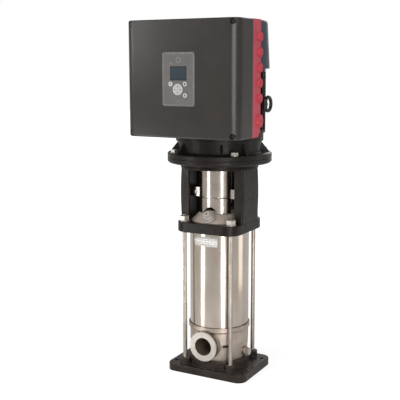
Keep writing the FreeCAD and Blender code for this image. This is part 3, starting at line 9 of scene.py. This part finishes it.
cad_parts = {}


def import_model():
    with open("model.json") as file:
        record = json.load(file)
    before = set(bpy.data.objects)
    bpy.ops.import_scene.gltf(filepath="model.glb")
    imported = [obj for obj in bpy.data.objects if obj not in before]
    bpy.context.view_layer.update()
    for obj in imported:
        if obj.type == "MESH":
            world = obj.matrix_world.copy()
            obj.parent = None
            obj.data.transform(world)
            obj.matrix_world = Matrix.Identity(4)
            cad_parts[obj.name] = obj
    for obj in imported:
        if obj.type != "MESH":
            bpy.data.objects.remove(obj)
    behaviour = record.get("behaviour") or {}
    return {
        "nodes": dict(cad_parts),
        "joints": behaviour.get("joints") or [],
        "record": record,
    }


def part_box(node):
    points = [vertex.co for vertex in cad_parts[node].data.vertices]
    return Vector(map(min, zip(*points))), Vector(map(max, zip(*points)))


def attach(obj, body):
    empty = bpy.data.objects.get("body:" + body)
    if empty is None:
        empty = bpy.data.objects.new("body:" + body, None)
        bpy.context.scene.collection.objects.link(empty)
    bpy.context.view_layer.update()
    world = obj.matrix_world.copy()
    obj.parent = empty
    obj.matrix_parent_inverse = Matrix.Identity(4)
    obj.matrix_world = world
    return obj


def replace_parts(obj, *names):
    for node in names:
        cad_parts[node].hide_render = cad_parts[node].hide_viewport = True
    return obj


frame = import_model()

NODES = frame["nodes"]
SLOTS = {row["node"]: row["material_slot"] for row in frame["record"]["subparts"]}
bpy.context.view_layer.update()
ROOT = "pump"
MM = 0.001
WHITE = (1.0, 1.0, 1.0, 1.0)


# Places and colours


def lowest(node):
    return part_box(node)[0]


def highest(node):
    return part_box(node)[1]


def centre(node):
    return (lowest(node) + highest(node)) / 2


def srgb(red, green, blue):
    """A colour written from 0 to 255, as linear RGBA."""
    shares = [value / 255 for value in (red, green, blue)]
    linear = [share / 12.92 if share <= 0.04045 else ((share + 0.055) / 1.055) ** 2.4 for share in shares]
    return (*linear, 1.0)


# One material under construction


class Recipe:
    """A material's node tree, its main shader and the place of each point in metres."""

    def __init__(self, name, metallic=0.0, roughness=0.5, **sockets):
        self.material = bpy.data.materials.new(name)
        self.material.use_nodes = True
        self.tree = self.material.node_tree
        self.shader = self.tree.nodes["Principled BSDF"]
        self.shader.inputs["Metallic"].default_value = metallic
        self.shader.inputs["Roughness"].default_value = roughness
        for socket, value in sockets.items():
            self.shader.inputs[socket.replace("_", " ")].default_value = value
        self.place = self.node("ShaderNodeTexCoord").outputs["Object"]
        self.relief = None

    def node(self, kind, inputs=None, **settings):
        made = self.tree.nodes.new(kind)
        for key, value in settings.items():
            setattr(made, key, value)
        for key, value in (inputs or {}).items():
            if isinstance(value, bpy.types.NodeSocket):
                self.tree.links.new(value, made.inputs[key])
            else:
                made.inputs[key].default_value = value
        return made

    def noise(self, size, detail=3.0, stretch=(1, 1, 1)):
        """Blotches about size across, drawn out along each axis by stretch."""
        scale = [1 / (size * share) for share in stretch]
        placed = self.node("ShaderNodeMapping", {"Vector": self.place, "Scale": scale})
        inputs = {"Vector": placed.outputs[0], "Scale": 1.0, "Detail": detail}
        return self.node("ShaderNodeTexNoise", inputs).outputs[0]

    def cells(self, size):
        """Grains about size across, each darkest at its middle."""
        inputs = {"Vector": self.place, "Scale": 1 / size}
        return self.node("ShaderNodeTexVoronoi", inputs).outputs["Distance"]

    def along(self, axis):
        return self.node("ShaderNodeSeparateXYZ", {0: self.place}).outputs[axis]

    def turn(self):
        """The angle round the pump's axis, from the front, -Y, towards +X."""
        return self.sums("ARCTAN2", self.along("X"), self.sums("MULTIPLY", self.along("Y"), -1.0))

    def distance(self, value, middle):
        return self.sums("ABSOLUTE", self.sums("SUBTRACT", value, middle))

    def within(self, axis, middle, reach):
        """1 within reach of middle along an axis, and 0 beyond it."""
        soft = 0.3 * MM
        return self.spread(self.distance(self.along(axis), middle), 1.0, 0.0, reach - soft, reach + soft)

    def sums(self, operation, first, second=0.0):
        return self.node("ShaderNodeMath", {0: first, 1: second}, operation=operation).outputs[0]

    def spread(self, value, low, high, start=0.3, end=0.7):
        """value, which goes from start to end, made to go from low to high."""
        inputs = {"Value": value, "From Min": start, "From Max": end, "To Min": low, "To Max": high}
        return self.node("ShaderNodeMapRange", inputs).outputs[0]

    def blend(self, share, first, second):
        made = self.node("ShaderNodeMix", data_type="RGBA")
        colours = [socket for socket in made.inputs if socket.type == "RGBA"]
        for socket, value in zip([made.inputs[0], *colours], (share, first, second)):
            if isinstance(value, bpy.types.NodeSocket):
                self.tree.links.new(value, socket)
            else:
                socket.default_value = value
        return next(socket for socket in made.outputs if socket.type == "RGBA")

    def clouds(self, size, dark, light, detail=3.0, stretch=(1, 1, 1)):
        """A colour that drifts between dark and light in blotches about size across."""
        return self.blend(self.spread(self.noise(size, detail, stretch), 0.0, 1.0), dark, light)

    def edges(self, width):
        """1 along outer and inner edges, and 0 on plain faces."""
        rounded = self.node("ShaderNodeBevel", {"Radius": width}, samples=4).outputs[0]
        plain = self.node("ShaderNodeNewGeometry").outputs["Normal"]
        inputs = {0: rounded, 1: plain}
        turned = self.node("ShaderNodeVectorMath", inputs, operation="DOT_PRODUCT").outputs["Value"]
        return self.spread(turned, 0.0, 1.0, 0.985, 0.8)

    def painted_shade_in_hollows(self, reach):
        """1 deep in corners and slots, where shade falls, and 0 in the open: the mask for painted shade."""
        inputs = {"Distance": reach}
        shade = self.node("ShaderNodeAmbientOcclusion", inputs, samples=4).outputs["AO"]
        return self.spread(shade, 0.0, 1.0, 0.85, 0.25)

    def bump(self, height, depth):
        inputs = {"Height": height, "Strength": 1.0, "Distance": depth}
        if self.relief is not None:
            inputs["Normal"] = self.relief
        self.relief = self.node("ShaderNodeBump", inputs).outputs[0]

    def drive(self, socket, value):
        self.tree.links.new(value, self.shader.inputs[socket])

    def done(self):
        if self.relief is not None:
            self.drive("Normal", self.relief)
        return self.material


# Families of finish


def painted(name, dark, light, edge_wear_and_highlight, roughness, grain, depth, gloss=0.5):
    """Satin paint: orange peel, a faint change of tone, duller patches and edges painted lighter, partly
    wear and partly a painted highlight.
    """
    look = Recipe(name, Specular_IOR_Level=gloss)
    # Lighter edges: partly wear, partly a painted highlight where the rounded edges catch the light.
    wear_and_highlight_mask = look.sums("MULTIPLY", look.edges(1.2 * MM), look.spread(look.noise(12 * MM), 0.25, 0.9))
    look.drive("Base Color", look.blend(wear_and_highlight_mask, look.clouds(70 * MM, dark, light), edge_wear_and_highlight))
    look.drive("Roughness", look.spread(look.noise(50 * MM), roughness - 0.02, roughness + 0.03))
    look.bump(look.noise(grain, 2.0), depth)
    return look.done()


def casting(name, dark, light, edge_wear_and_highlight, roughness):
    """Sand-cast iron under black paint: a coarse skin, fine grit and the short slot on the stool's legs, a
    shallow dent painted near-black as painted shade.
    """
    slot_height = lowest("motor_stool").z + 95 * MM
    slot_middle = -15 * MM
    slot_half_height = 1.4 * MM
    slot_half_length = 16 * MM
    look = Recipe(name, Specular_IOR_Level=0.22)
    # Lighter edges: partly wear, partly a painted highlight on the cast fillets.
    wear_and_highlight_mask = look.sums("MULTIPLY", look.edges(1.6 * MM), look.spread(look.noise(10 * MM), 0.15, 0.9))
    tone = look.blend(wear_and_highlight_mask, look.clouds(50 * MM, dark, light), edge_wear_and_highlight)
    # The slot is painted near-black: painted shade inside a shallow dent.
    slot = look.sums("MULTIPLY", look.within("Z", slot_height, slot_half_height),
                     look.within("Y", slot_middle, slot_half_length))
    look.drive("Base Color", look.blend(slot, tone, srgb(4, 4, 4)))
    look.bump(slot, -1.5 * MM)
    look.drive("Roughness", look.spread(look.noise(20 * MM, 5.0), roughness - 0.06, roughness + 0.08))
    look.bump(look.noise(9 * MM), 0.5 * MM)
    look.bump(look.noise(1.3 * MM, 2.0), 0.12 * MM)
    return look.done()


def steel(name, dark, light, roughness, grain, stretch, depth, metal=1.0):
    """Bare steel whose marks are drawn out along the way it was rolled, turned or polished."""
    look = Recipe(name, metallic=metal)
    tone = look.clouds(40 * MM, dark, light)
    # Hollows are painted dark brown: painted shade in corners and slots.
    look.drive("Base Color", look.blend(look.painted_shade_in_hollows(6 * MM), tone, srgb(58, 50, 44)))
    marks = look.noise(grain, 4.0, stretch)
    look.drive("Roughness", look.spread(marks, roughness - 0.05, roughness + 0.07))
    look.bump(marks, depth)
    return look.done()


def plastic(name, dark, light, roughness, grain=0.8 * MM, depth=0.02 * MM, gloss=0.5):
    """Moulded plastic with a fine spark-eroded skin."""
    look = Recipe(name, Specular_IOR_Level=gloss)
    look.drive("Base Color", look.clouds(30 * MM, dark, light))
    look.drive("Roughness", look.spread(look.noise(15 * MM, 4.0), roughness - 0.05, roughness + 0.06))
    look.bump(look.noise(grain, 2.0), depth)
    return look.done()


# Materials of their own


def polished_tube():
    """Polished stainless tube: soft streaks along it and faint bands of tone round it."""
    look = Recipe("polished_stainless", metallic=1.0)
    streaks = look.noise(2.2 * MM, stretch=(1, 1, 60))
    tone = look.clouds(35 * MM, srgb(194, 180, 166), srgb(208, 196, 184), stretch=(1, 1, 3))
    # Hollows are painted dark: painted shade in corners and slots.
    look.drive("Base Color", look.blend(look.painted_shade_in_hollows(5 * MM), tone, srgb(84, 76, 68)))
    look.drive("Roughness", look.spread(streaks, 0.13, 0.2))
    look.bump(streaks, 0.01 * MM)
    return look.done()


def blasted_casting():
    """Investment-cast stainless, bead blasted. The pump base has a faint parting line, machined port faces
    and a short dent on its side painted dark as painted shade, and the pump head above the sleeve is duller."""
    parting_height = 88 * MM
    port_face = highest("pump_base").y
    mark_turn = math.radians(40.0)
    mark_half_height = 3.2 * MM
    head_from = 420 * MM
    head_to = 440 * MM
    look = Recipe("cast_stainless", metallic=1.0)
    tone = look.clouds(30 * MM, srgb(176, 162, 150), srgb(198, 184, 171), detail=4.0)
    seam = look.distance(look.along("Z"), parting_height)
    parting = look.spread(seam, 1.0, 0.0, 0.3 * MM, 1.1 * MM)
    tone = look.blend(look.sums("MULTIPLY", parting, 0.35), tone, srgb(110, 97, 88))
    reach = look.sums("ABSOLUTE", look.along("Y"))
    face = look.spread(reach, 0.0, 1.0, port_face - 0.4 * MM, port_face - 0.1 * MM)
    tone = look.blend(face, tone, look.clouds(20 * MM, srgb(206, 198, 189), srgb(220, 213, 205)))
    # A short dent on the side, painted dark as painted shade inside it.
    aside = look.distance(look.turn(), mark_turn)
    width = look.spread(aside, 1.0, 0.0, math.radians(5.5), math.radians(6.5))
    mark = look.sums("MULTIPLY", width, look.within("Z", parting_height, mark_half_height))
    tone = look.blend(mark, tone, srgb(58, 48, 42))
    # Hollows are painted dark: painted shade in corners and slots.
    look.drive("Base Color", look.blend(look.painted_shade_in_hollows(9 * MM), tone, srgb(84, 72, 63)))
    look.bump(mark, -1.2 * MM)
    skin = look.spread(look.noise(6 * MM, 5.0), 0.36, 0.48)
    skin = look.sums("ADD", skin, look.spread(look.along("Z"), 0.0, 0.14, head_from, head_to))
    look.drive("Roughness", look.sums("MULTIPLY", skin, look.spread(face, 1.0, 0.8, 0.0, 1.0)))
    look.drive("Metallic", look.spread(look.along("Z"), 0.9, 0.35, head_from, head_to))
    look.bump(parting, 0.25 * MM)
    look.bump(look.noise(5 * MM), 0.16 * MM)
    look.bump(look.noise(0.7 * MM, 2.0), 0.05 * MM)
    return look.done()


def laminated_core():
    """A stack of thin sheets: a line for each sheet along the shaft."""
    sheet = 1.0 * MM
    look = Recipe("core_steel", metallic=0.9, roughness=0.5)
    sheets = look.sums("FRACT", look.sums("DIVIDE", look.along("Z"), sheet))
    look.drive("Base Color", look.blend(sheets, srgb(70, 68, 66), srgb(120, 117, 113)))
    look.bump(sheets, 0.05 * MM)
    return look.done()


def varnished_winding():
    """Copper wire under varnish: turns of wire that show as ridges."""
    look = Recipe("winding", roughness=0.35, Coat_Weight=0.5)
    turns = look.noise(0.9 * MM, 2.0, (1, 1, 8))
    look.drive("Base Color", look.blend(look.spread(turns, 0.0, 1.0), srgb(112, 55, 25), srgb(186, 104, 52)))
    look.bump(turns, 0.15 * MM)
    return look.done()


def display_glass():
    """A dark window over a display that is switched off: a bluish tint that grows lighter towards the top,
    in a dark border.
    """
    border = 2.2 * MM
    middle = centre("display_window")
    half = highest("display_window") - middle
    look = Recipe("display", roughness=0.16, Specular_IOR_Level=0.35)
    fade = look.spread(look.along("Z"), 0.0, 1.0, middle.z - half.z, middle.z + half.z)
    shown = look.sums("MULTIPLY", look.within("X", middle.x, half.x - border),
                      look.within("Z", middle.z, half.z - border))
    # Lighter and bluer from bottom to top.
    depth = look.blend(fade, srgb(50, 62, 66), srgb(56, 64, 72))
    look.drive("Base Color", look.blend(shown, srgb(38, 41, 46), depth))
    look.bump(look.noise(3 * MM, 1.0), 0.004 * MM)
    return look.done()


def printed_board():
    look = Recipe("board", roughness=0.4)
    tracks = look.spread(look.cells(4 * MM), 0.0, 1.0, 0.1, 0.35)
    look.drive("Base Color", look.blend(tracks, srgb(24, 66, 40), srgb(14, 46, 27)))
    look.bump(tracks, 0.03 * MM)
    return look.done()


def turned_rod():
    """Drawn bar with rolled threads at both ends of the staybolts."""
    pitch = 1.75 * MM
    fade = 1.0 * MM
    top_thread = highest("staybolts").z - 27 * MM
    foot_thread = lowest("staybolts").z + 30 * MM
    look = Recipe("rod_steel", metallic=1.0)
    marks = look.noise(2 * MM, stretch=(1, 1, 30))
    height = look.along("Z")
    top = look.spread(height, 0.0, 1.0, top_thread, top_thread + fade)
    foot = look.spread(height, 1.0, 0.0, foot_thread, foot_thread + fade)
    turns = look.sums("SINE", look.sums("MULTIPLY", height, 2 * math.pi / pitch))
    thread = look.sums("MULTIPLY", look.sums("MAXIMUM", top, foot), look.spread(turns, 0.0, 1.0, -1.0, 1.0))
    tone = look.clouds(30 * MM, srgb(166, 157, 147), srgb(186, 178, 168))
    tone = look.blend(look.sums("MULTIPLY", thread, 0.55), tone, srgb(92, 86, 80))
    # Hollows are painted dark: painted shade where the rod meets other parts.
    look.drive("Base Color", look.blend(look.painted_shade_in_hollows(4 * MM), tone, srgb(70, 62, 55)))
    look.drive("Roughness", look.spread(marks, 0.3, 0.38))
    look.bump(thread, 0.5 * MM)
    look.bump(marks, 0.01 * MM)
    return look.done()


def all_finishes():
    """The finish of each material slot, and base_paint_lit and vent_steel, which only some pieces have."""
    return {
        # Edges painted paler: partly wear, partly a painted highlight.
        "cast_black": casting(
            "cast_black", srgb(22, 17, 15), srgb(36, 30, 26), edge_wear_and_highlight=srgb(104, 93, 84), roughness=0.33
        ),
        # A lighter copy of the black casting paint for the base plate: painted light on its lit top, and
        # edges painted paler as a painted highlight.
        "base_paint_lit": casting(
            "base_paint_lit", srgb(38, 32, 29), srgb(56, 49, 44), edge_wear_and_highlight=srgb(150, 140, 130), roughness=0.3
        ),
        "cast_stainless": blasted_casting(),
        "polished_stainless": polished_tube(),
        "sheet_stainless": steel(
            "sheet_stainless", srgb(178, 166, 155), srgb(194, 184, 174),
            roughness=0.19, grain=3 * MM, stretch=(1, 1, 12), depth=0.01 * MM
        ),
        "rod_steel": turned_rod(),
        "zinc_steel": steel(
            "zinc_steel", srgb(192, 186, 177), srgb(212, 206, 198),
            roughness=0.36, grain=1.6 * MM, stretch=(1, 1, 1), depth=0.03 * MM, metal=0.7
        ),
        "vent_steel": steel(
            "vent_steel", srgb(206, 200, 192), srgb(224, 218, 210),
            roughness=0.3, grain=1.6 * MM, stretch=(1, 1, 1), depth=0.02 * MM, metal=0.35
        ),
        "bearing_steel": steel(
            "bearing_steel", srgb(170, 170, 168), srgb(196, 196, 194),
            roughness=0.18, grain=2 * MM, stretch=(1, 1, 0.2), depth=0.01 * MM
        ),
        "core_steel": laminated_core(),
        "coupling_iron": steel(
            "coupling_iron", srgb(104, 100, 96), srgb(132, 127, 121),
            roughness=0.38, grain=2 * MM, stretch=(1, 1, 0.3), depth=0.05 * MM
        ),
        "winding": varnished_winding(),
        "seal": plastic("seal", srgb(20, 20, 20), srgb(30, 29, 29), roughness=0.6),
        "seal_metal": steel(
            "seal_metal", srgb(160, 156, 150), srgb(186, 182, 176),
            roughness=0.25, grain=2 * MM, stretch=(1, 1, 0.2), depth=0.01 * MM
        ),
        "fan_paint": painted(
            "fan_paint", srgb(58, 66, 77), srgb(67, 75, 86), edge_wear_and_highlight=srgb(110, 116, 125),
            roughness=0.45, grain=1.6 * MM, depth=0.03 * MM, gloss=0.35
        ),
        "fan_plastic": plastic("fan_plastic", srgb(30, 30, 32), srgb(42, 42, 44), roughness=0.55),
        "eye_black": painted(
            "eye_black", srgb(14, 13, 13), srgb(22, 21, 20), edge_wear_and_highlight=srgb(80, 76, 70),
            roughness=0.36, grain=2 * MM, depth=0.06 * MM
        ),
        "box_dark": painted(
            "box_dark", srgb(40, 36, 33), srgb(46, 42, 39), edge_wear_and_highlight=srgb(74, 69, 65),
            roughness=0.3, grain=1.3 * MM, depth=0.004 * MM
        ),
        "box_red": plastic(
            "box_red", srgb(192, 68, 81), srgb(202, 79, 92),
            roughness=0.42, grain=1.2 * MM, depth=0.03 * MM, gloss=0.4
        ),
        "panel_grey": plastic(
            "panel_grey", srgb(94, 91, 90), srgb(103, 100, 98), roughness=0.4, gloss=0.45
        ),
        # Edges painted near-white: mostly a painted highlight along the frame's raised rim.
        "frame_grey": painted(
            "frame_grey", srgb(100, 97, 95), srgb(110, 107, 104), edge_wear_and_highlight=srgb(214, 211, 208),
            roughness=0.3, grain=1.0 * MM, depth=0.01 * MM
        ),
        "display": display_glass(),
        "light_ring": plastic("light_ring", srgb(122, 120, 119), srgb(136, 134, 133), roughness=0.3),
        "board": printed_board(),
        "key_grey": plastic("key_grey", srgb(180, 178, 175), srgb(194, 192, 190), roughness=0.45, gloss=0.4),
    }


# The base plate takes the lighter copy of the black casting paint, painted light on its lit top.
LOOKS_LIKE = {"cover_screws": "eye_black", "base_plate": "base_paint_lit", "guard_screws": "seal_metal"}


def dress_nodes(finishes):
    for name, slot in SLOTS.items():
        mesh = NODES[name].data
        if not mesh.materials:
            mesh.materials.append(None)
        for index in range(len(mesh.materials)):
            mesh.materials[index] = finishes[LOOKS_LIKE.get(name, slot)]


# Small pieces that only the looks need


def in_scene(name, data):
    placed = bpy.data.objects.new(name, data)
    bpy.context.scene.collection.objects.link(placed)
    return placed


def new_mesh(name, points, faces):
    mesh = bpy.data.meshes.new(name)
    mesh.from_pydata(points, [], faces)
    mesh.update()
    return mesh


def new_piece(name, mesh, material, body=ROOT):
    """A piece on a body, with the material that it is given."""
    piece = in_scene(name, mesh)
    mesh.materials.append(material)
    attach(piece, body)
    return piece


def flat_mark(name, node, body, outline, material):
    """A thin printed mark on the node's front, -Y, which rides on a body. outline holds (x, z) points."""
    depth = 0.04 * MM
    front = lowest(node).y
    points = [(x, front - depth, z) for x, z in outline]
    points += [(x, front + depth, z) for x, z in outline]
    count = len(outline)
    faces = [tuple(range(count)), tuple(reversed(range(count, 2 * count)))]
    faces += [(i, (i + 1) % count, count + (i + 1) % count, count + i) for i in range(count)]
    new_piece(name, new_mesh(name, points, faces), material, body)


def shifted(outline, x, z):
    """An outline in millimetres about its own middle, moved to a place in metres."""
    return [(x + across * MM, z + up * MM) for across, up in outline]


def arrow(turn, size):
    """A triangle that points up before its turn, in degrees clockwise. Its tip is size from its middle."""
    angle = math.radians(turn)
    corners = [(0, size), (-0.95 * size, -0.7 * size), (0.95 * size, -0.7 * size)]
    return [(x * math.cos(angle) + z * math.sin(angle), z * math.cos(angle) - x * math.sin(angle))
            for x, z in corners]


def disc(radius, count=24):
    steps = [2 * math.pi * i / count for i in range(count)]
    return [(radius * math.cos(step), radius * math.sin(step)) for step in steps]


def house():
    """A wall on each side under a roof whose eaves stand out."""
    wall = 2.2
    eave = 3.1
    foot = -2.4
    shoulder = 0.2
    ridge = 3.0
    return [(-wall, foot), (wall, foot), (wall, shoulder), (eave, shoulder), (0, ridge), (-eave, shoulder),
            (-wall, shoulder)]


def page():
    """A sheet with one corner cut off."""
    side = 1.9
    top = 2.5
    cut = 1.1
    return [(-side, -top), (side, -top), (side, top - cut), (side - cut, top), (-side, top)]


def back_arrow():
    """A larger arrow to the left, with its tip set a little to that side."""
    tip_shift = 0.4
    return [(x - tip_shift, z) for x, z in arrow(270, 2.6)]


def key_marks():
    """Plain signs on the keys: arrows on the ring, an arrow back, a house, a page and a dot."""
    ink = plastic("key_ink", srgb(52, 51, 51), srgb(64, 63, 62), roughness=0.5)
    signs = {
        "key_up": arrow(0, 2.2), "key_right": arrow(90, 2.2), "key_down": arrow(180, 2.2),
        "key_left": arrow(270, 2.2), "key_back": back_arrow(), "key_home": house(), "key_info": page(),
        "key_ok": disc(1.0)}
    for key, sign in signs.items():
        middle = centre(key)
        flat_mark(key + "_mark", key, key, shifted(sign, middle.x, middle.z), ink)


def panel_dot():
    """The small pale eye beside the status light."""
    eye = plastic("panel_eye", srgb(124, 121, 122), srgb(138, 135, 136), roughness=0.25)
    x = lowest("control_panel").x + 21.25 * MM
    z = highest("control_panel").z - 23.5 * MM
    flat_mark("panel_eye", "control_panel", ROOT, shifted(disc(2.8), x, z), eye)


def blank_plate_finish(radius):
    """A bright printed film with empty ruled fields, wrapped round a sleeve of that radius."""
    look = Recipe("blank_plate", roughness=0.3, Specular_IOR_Level=0.5)
    across = look.sums("MULTIPLY", look.turn(), radius)
    spot = look.node("ShaderNodeCombineXYZ", {0: across, 1: look.along("Z")}).outputs[0]
    fields = look.node("ShaderNodeTexBrick", {
        "Vector": spot, "Scale": 1 / (10 * MM), "Mortar Size": 0.035, "Brick Width": 1.9, "Row Height": 0.62,
        "Color1": srgb(246, 244, 240), "Color2": srgb(232, 229, 224), "Mortar": srgb(70, 66, 62)})
    look.drive("Base Color", fields.outputs[0])
    look.drive("Roughness", look.spread(look.noise(10 * MM), 0.26, 0.38))
    look.bump(fields.outputs[1], -0.02 * MM)
    return look.done()


def blank_plate():
    """The curved plate on the sleeve's front, without its print."""
    radius = highest("outer_sleeve").x
    top = highest("outer_sleeve").z
    heights = [top - 40.5 * MM, top - 12.5 * MM]
    shells = [radius + 0.35 * MM, radius - 0.1 * MM]
    start = -28
    end = 24
    steps = 32
    points = []
    for i in range(steps + 1):
        turn = math.radians(start + (end - start) * i / steps)
        for shell in shells:
            points += [(shell * math.sin(turn), -shell * math.cos(turn), z) for z in heights]
    faces = [(0, 2, 3, 1), tuple(4 * steps + corner for corner in (0, 1, 3, 2))]
    for i in range(steps):
        here = 4 * i
        ahead = here + 4
        faces += [(here, here + 1, ahead + 1, ahead), (here + 2, ahead + 2, ahead + 3, here + 3),
                  (here + 1, here + 3, ahead + 3, ahead + 1), (here, ahead, ahead + 2, here + 2)]
    mesh = new_mesh("blank_plate", points, faces)
    for face in mesh.polygons:
        face.use_smooth = abs(face.normal.z) < 0.5
    new_piece("blank_plate", mesh, blank_plate_finish(radius))


def grown_copy(name, node, grow, material, body=ROOT):
    """A piece in a node's place, whose points are the node's own, each moved by grow."""
    mesh = NODES[node].data.copy()
    mesh.name = name
    mesh.materials.clear()
    for vertex in mesh.vertices:
        vertex.co = grow(vertex.co.copy())
    mesh.update()
    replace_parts(new_piece(name, mesh, material, body), node)


def fuller_fasteners(finishes):
    """The vent plug and the staybolts' nuts and washers at the width that the photograph shows."""
    vent_growth = 1.18
    nut_growth = 1.16
    rod_radius = 6 * MM
    rod_place = highest("staybolts").x - rod_radius
    seat = Vector(next(joint["pos_m"] for joint in frame["joints"] if joint["name"] == "vent_turn"))

    def from_seat(point):
        return seat + (point - seat) * vent_growth

    def from_rod(point):
        rod = Vector((math.copysign(rod_place, point.x), math.copysign(rod_place, point.y), point.z))
        return rod + (point - rod) * nut_growth

    grown_copy("vent_hexagon", "vent_plug", from_seat, finishes["vent_steel"])
    grown_copy("vent_spindle", "vent_screw", from_seat, finishes["vent_steel"], "vent_screw")
    grown_copy("rod_nuts", "staybolt_nuts", from_rod, finishes["zinc_steel"])
    grown_copy("rod_washers", "staybolt_washers", from_rod, finishes["zinc_steel"])


def bolts_without_nuts(finishes):
    """The motor flange's bolts, whose lower ends stay inside the stool's disc."""
    underside = highest("motor_stool").z - 14.3 * MM
    source = NODES["flange_bolts"].data
    kept = [face for face in source.polygons
            if all(source.vertices[i].co.z > underside for i in face.vertices)]
    used = sorted({i for face in kept for i in face.vertices})
    place = {old: new for new, old in enumerate(used)}
    mesh = new_mesh("flange_screws", [source.vertices[i].co[:] for i in used],
                    [[place[i] for i in face.vertices] for face in kept])
    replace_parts(new_piece("flange_screws", mesh, finishes["zinc_steel"]), "flange_bolts")


# Camera, light and stage

GLOSS_LEVEL = 0.42
WORLD_LIGHT = 0.39


def camera():
    """The photograph's own viewpoint, fitted to the corners of the box, flange and base."""
    tilt = math.radians(80.588)
    turn = math.radians(28.829)
    roll = math.radians(-0.131)
    data = bpy.data.cameras.new("photo_camera")
    data.sensor_width = 36.0
    data.lens = 72.34
    placed = in_scene("photo_camera", data)
    placed.location = (1.0489, -2.0219, 0.8766)
    aim = Euler((tilt, 0.0, turn)).to_matrix() @ Matrix.Rotation(roll, 3, "Z")
    placed.rotation_euler = aim.to_euler()
    bpy.context.scene.camera = placed


def light_path(tree):
    """1 for what the camera or a clear piece sees, less in a gloss, and 0 for light on a surface."""
    path = tree.nodes.new("ShaderNodeLightPath")
    gloss = tree.nodes.new("ShaderNodeMath")
    gloss.operation = "MULTIPLY"
    gloss.inputs[1].default_value = GLOSS_LEVEL
    tree.links.new(path.outputs["Is Glossy Ray"], gloss.inputs[0])
    seen = gloss.outputs[0]
    for name in ("Is Camera Ray", "Is Transmission Ray"):
        either = tree.nodes.new("ShaderNodeMath")
        either.operation = "MAXIMUM"
        tree.links.new(seen, either.inputs[0])
        tree.links.new(path.outputs[name], either.inputs[1])
        seen = either.outputs[0]
    return seen


def world():
    """A plain white surround, dimmer in a gloss and for the light that it throws on the object."""
    made = bpy.data.worlds.new("studio")
    bpy.context.scene.world = made
    made.use_nodes = True
    tree = made.node_tree
    surround = tree.nodes["Background"]
    surround.inputs["Color"].default_value = WHITE
    level = tree.nodes.new("ShaderNodeMath")
    level.operation = "MAXIMUM"
    level.inputs[1].default_value = WORLD_LIGHT
    tree.links.new(light_path(tree), level.inputs[0])
    tree.links.new(level.outputs[0], surround.inputs["Strength"])


def floor():
    """A wide pale floor that shows white away from the object and keeps the object's shadow."""
    reach = 12.0
    drop = 0.2 * MM
    grey = (0.5, 0.5, 0.5, 1.0)
    look = Recipe("floor", roughness=0.9, Specular_IOR_Level=0.0, Base_Color=grey, Emission_Color=WHITE)
    away = look.node("ShaderNodeVectorMath", {0: look.place}, operation="LENGTH").outputs["Value"]
    glow = look.spread(away, 0.68, 1.0, start=0.2, end=1.2)
    look.drive("Emission Strength", look.sums("MULTIPLY", light_path(look.tree), glow))
    corners = [(-reach, -reach, 0), (reach, -reach, 0), (reach, reach, 0), (-reach, reach, 0)]
    placed = in_scene("floor", new_mesh("floor", corners, [(0, 1, 2, 3)]))
    placed.location.z = -drop
    placed.data.materials.append(look.done())


def softbox(name, azimuth, distance, width, height, middle, radiance):
    """A tall soft light. azimuth is in degrees from the front, -Y, towards +X, and middle is its height."""
    data = bpy.data.lights.new(name, "AREA")
    data.shape = "RECTANGLE"
    data.size = width
    data.size_y = height
    data.energy = radiance * math.pi * width * height
    placed = in_scene(name, data)
    turn = math.radians(azimuth)
    placed.location = (distance * math.sin(turn), -distance * math.cos(turn), middle)
    placed.visible_camera = False
    aim = Vector((0, 0, middle)) - placed.location
    placed.rotation_euler = aim.to_track_quat("-Z", "Y").to_euler()


def lights():
    """Strips for the sleeve and the pump base, a rim, two large boxes for the control box, and a fill."""
    sides = {"left": -36.0, "right": 41.0}
    for side, azimuth in sides.items():
        softbox("strip_" + side, azimuth, 0.85, width=0.15, height=0.6, middle=0.33, radiance=5.0)
    for side, azimuth in sides.items():
        softbox("low_" + side, azimuth, 0.5, width=0.09, height=0.26, middle=0.14, radiance=4.0)
    softbox("rim_right", 115.0, 0.85, width=0.3, height=0.6, middle=0.33, radiance=1.0)
    softbox("box_left", -43.0, 1.28, width=0.55, height=0.9, middle=1.3, radiance=3.4)
    softbox("box_right", 31.0, 1.0, width=0.5, height=1.0, middle=1.15, radiance=3.8)
    softbox("back_fill", 190.0, 1.6, width=0.8, height=1.0, middle=1.3, radiance=1.8)


FINISHES = all_finishes()
dress_nodes(FINISHES)
key_marks()
panel_dot()
blank_plate()
bolts_without_nuts(FINISHES)
fuller_fasteners(FINISHES)
camera()
world()
floor()
lights()
bpy.context.scene.view_settings.view_transform = "Standard"
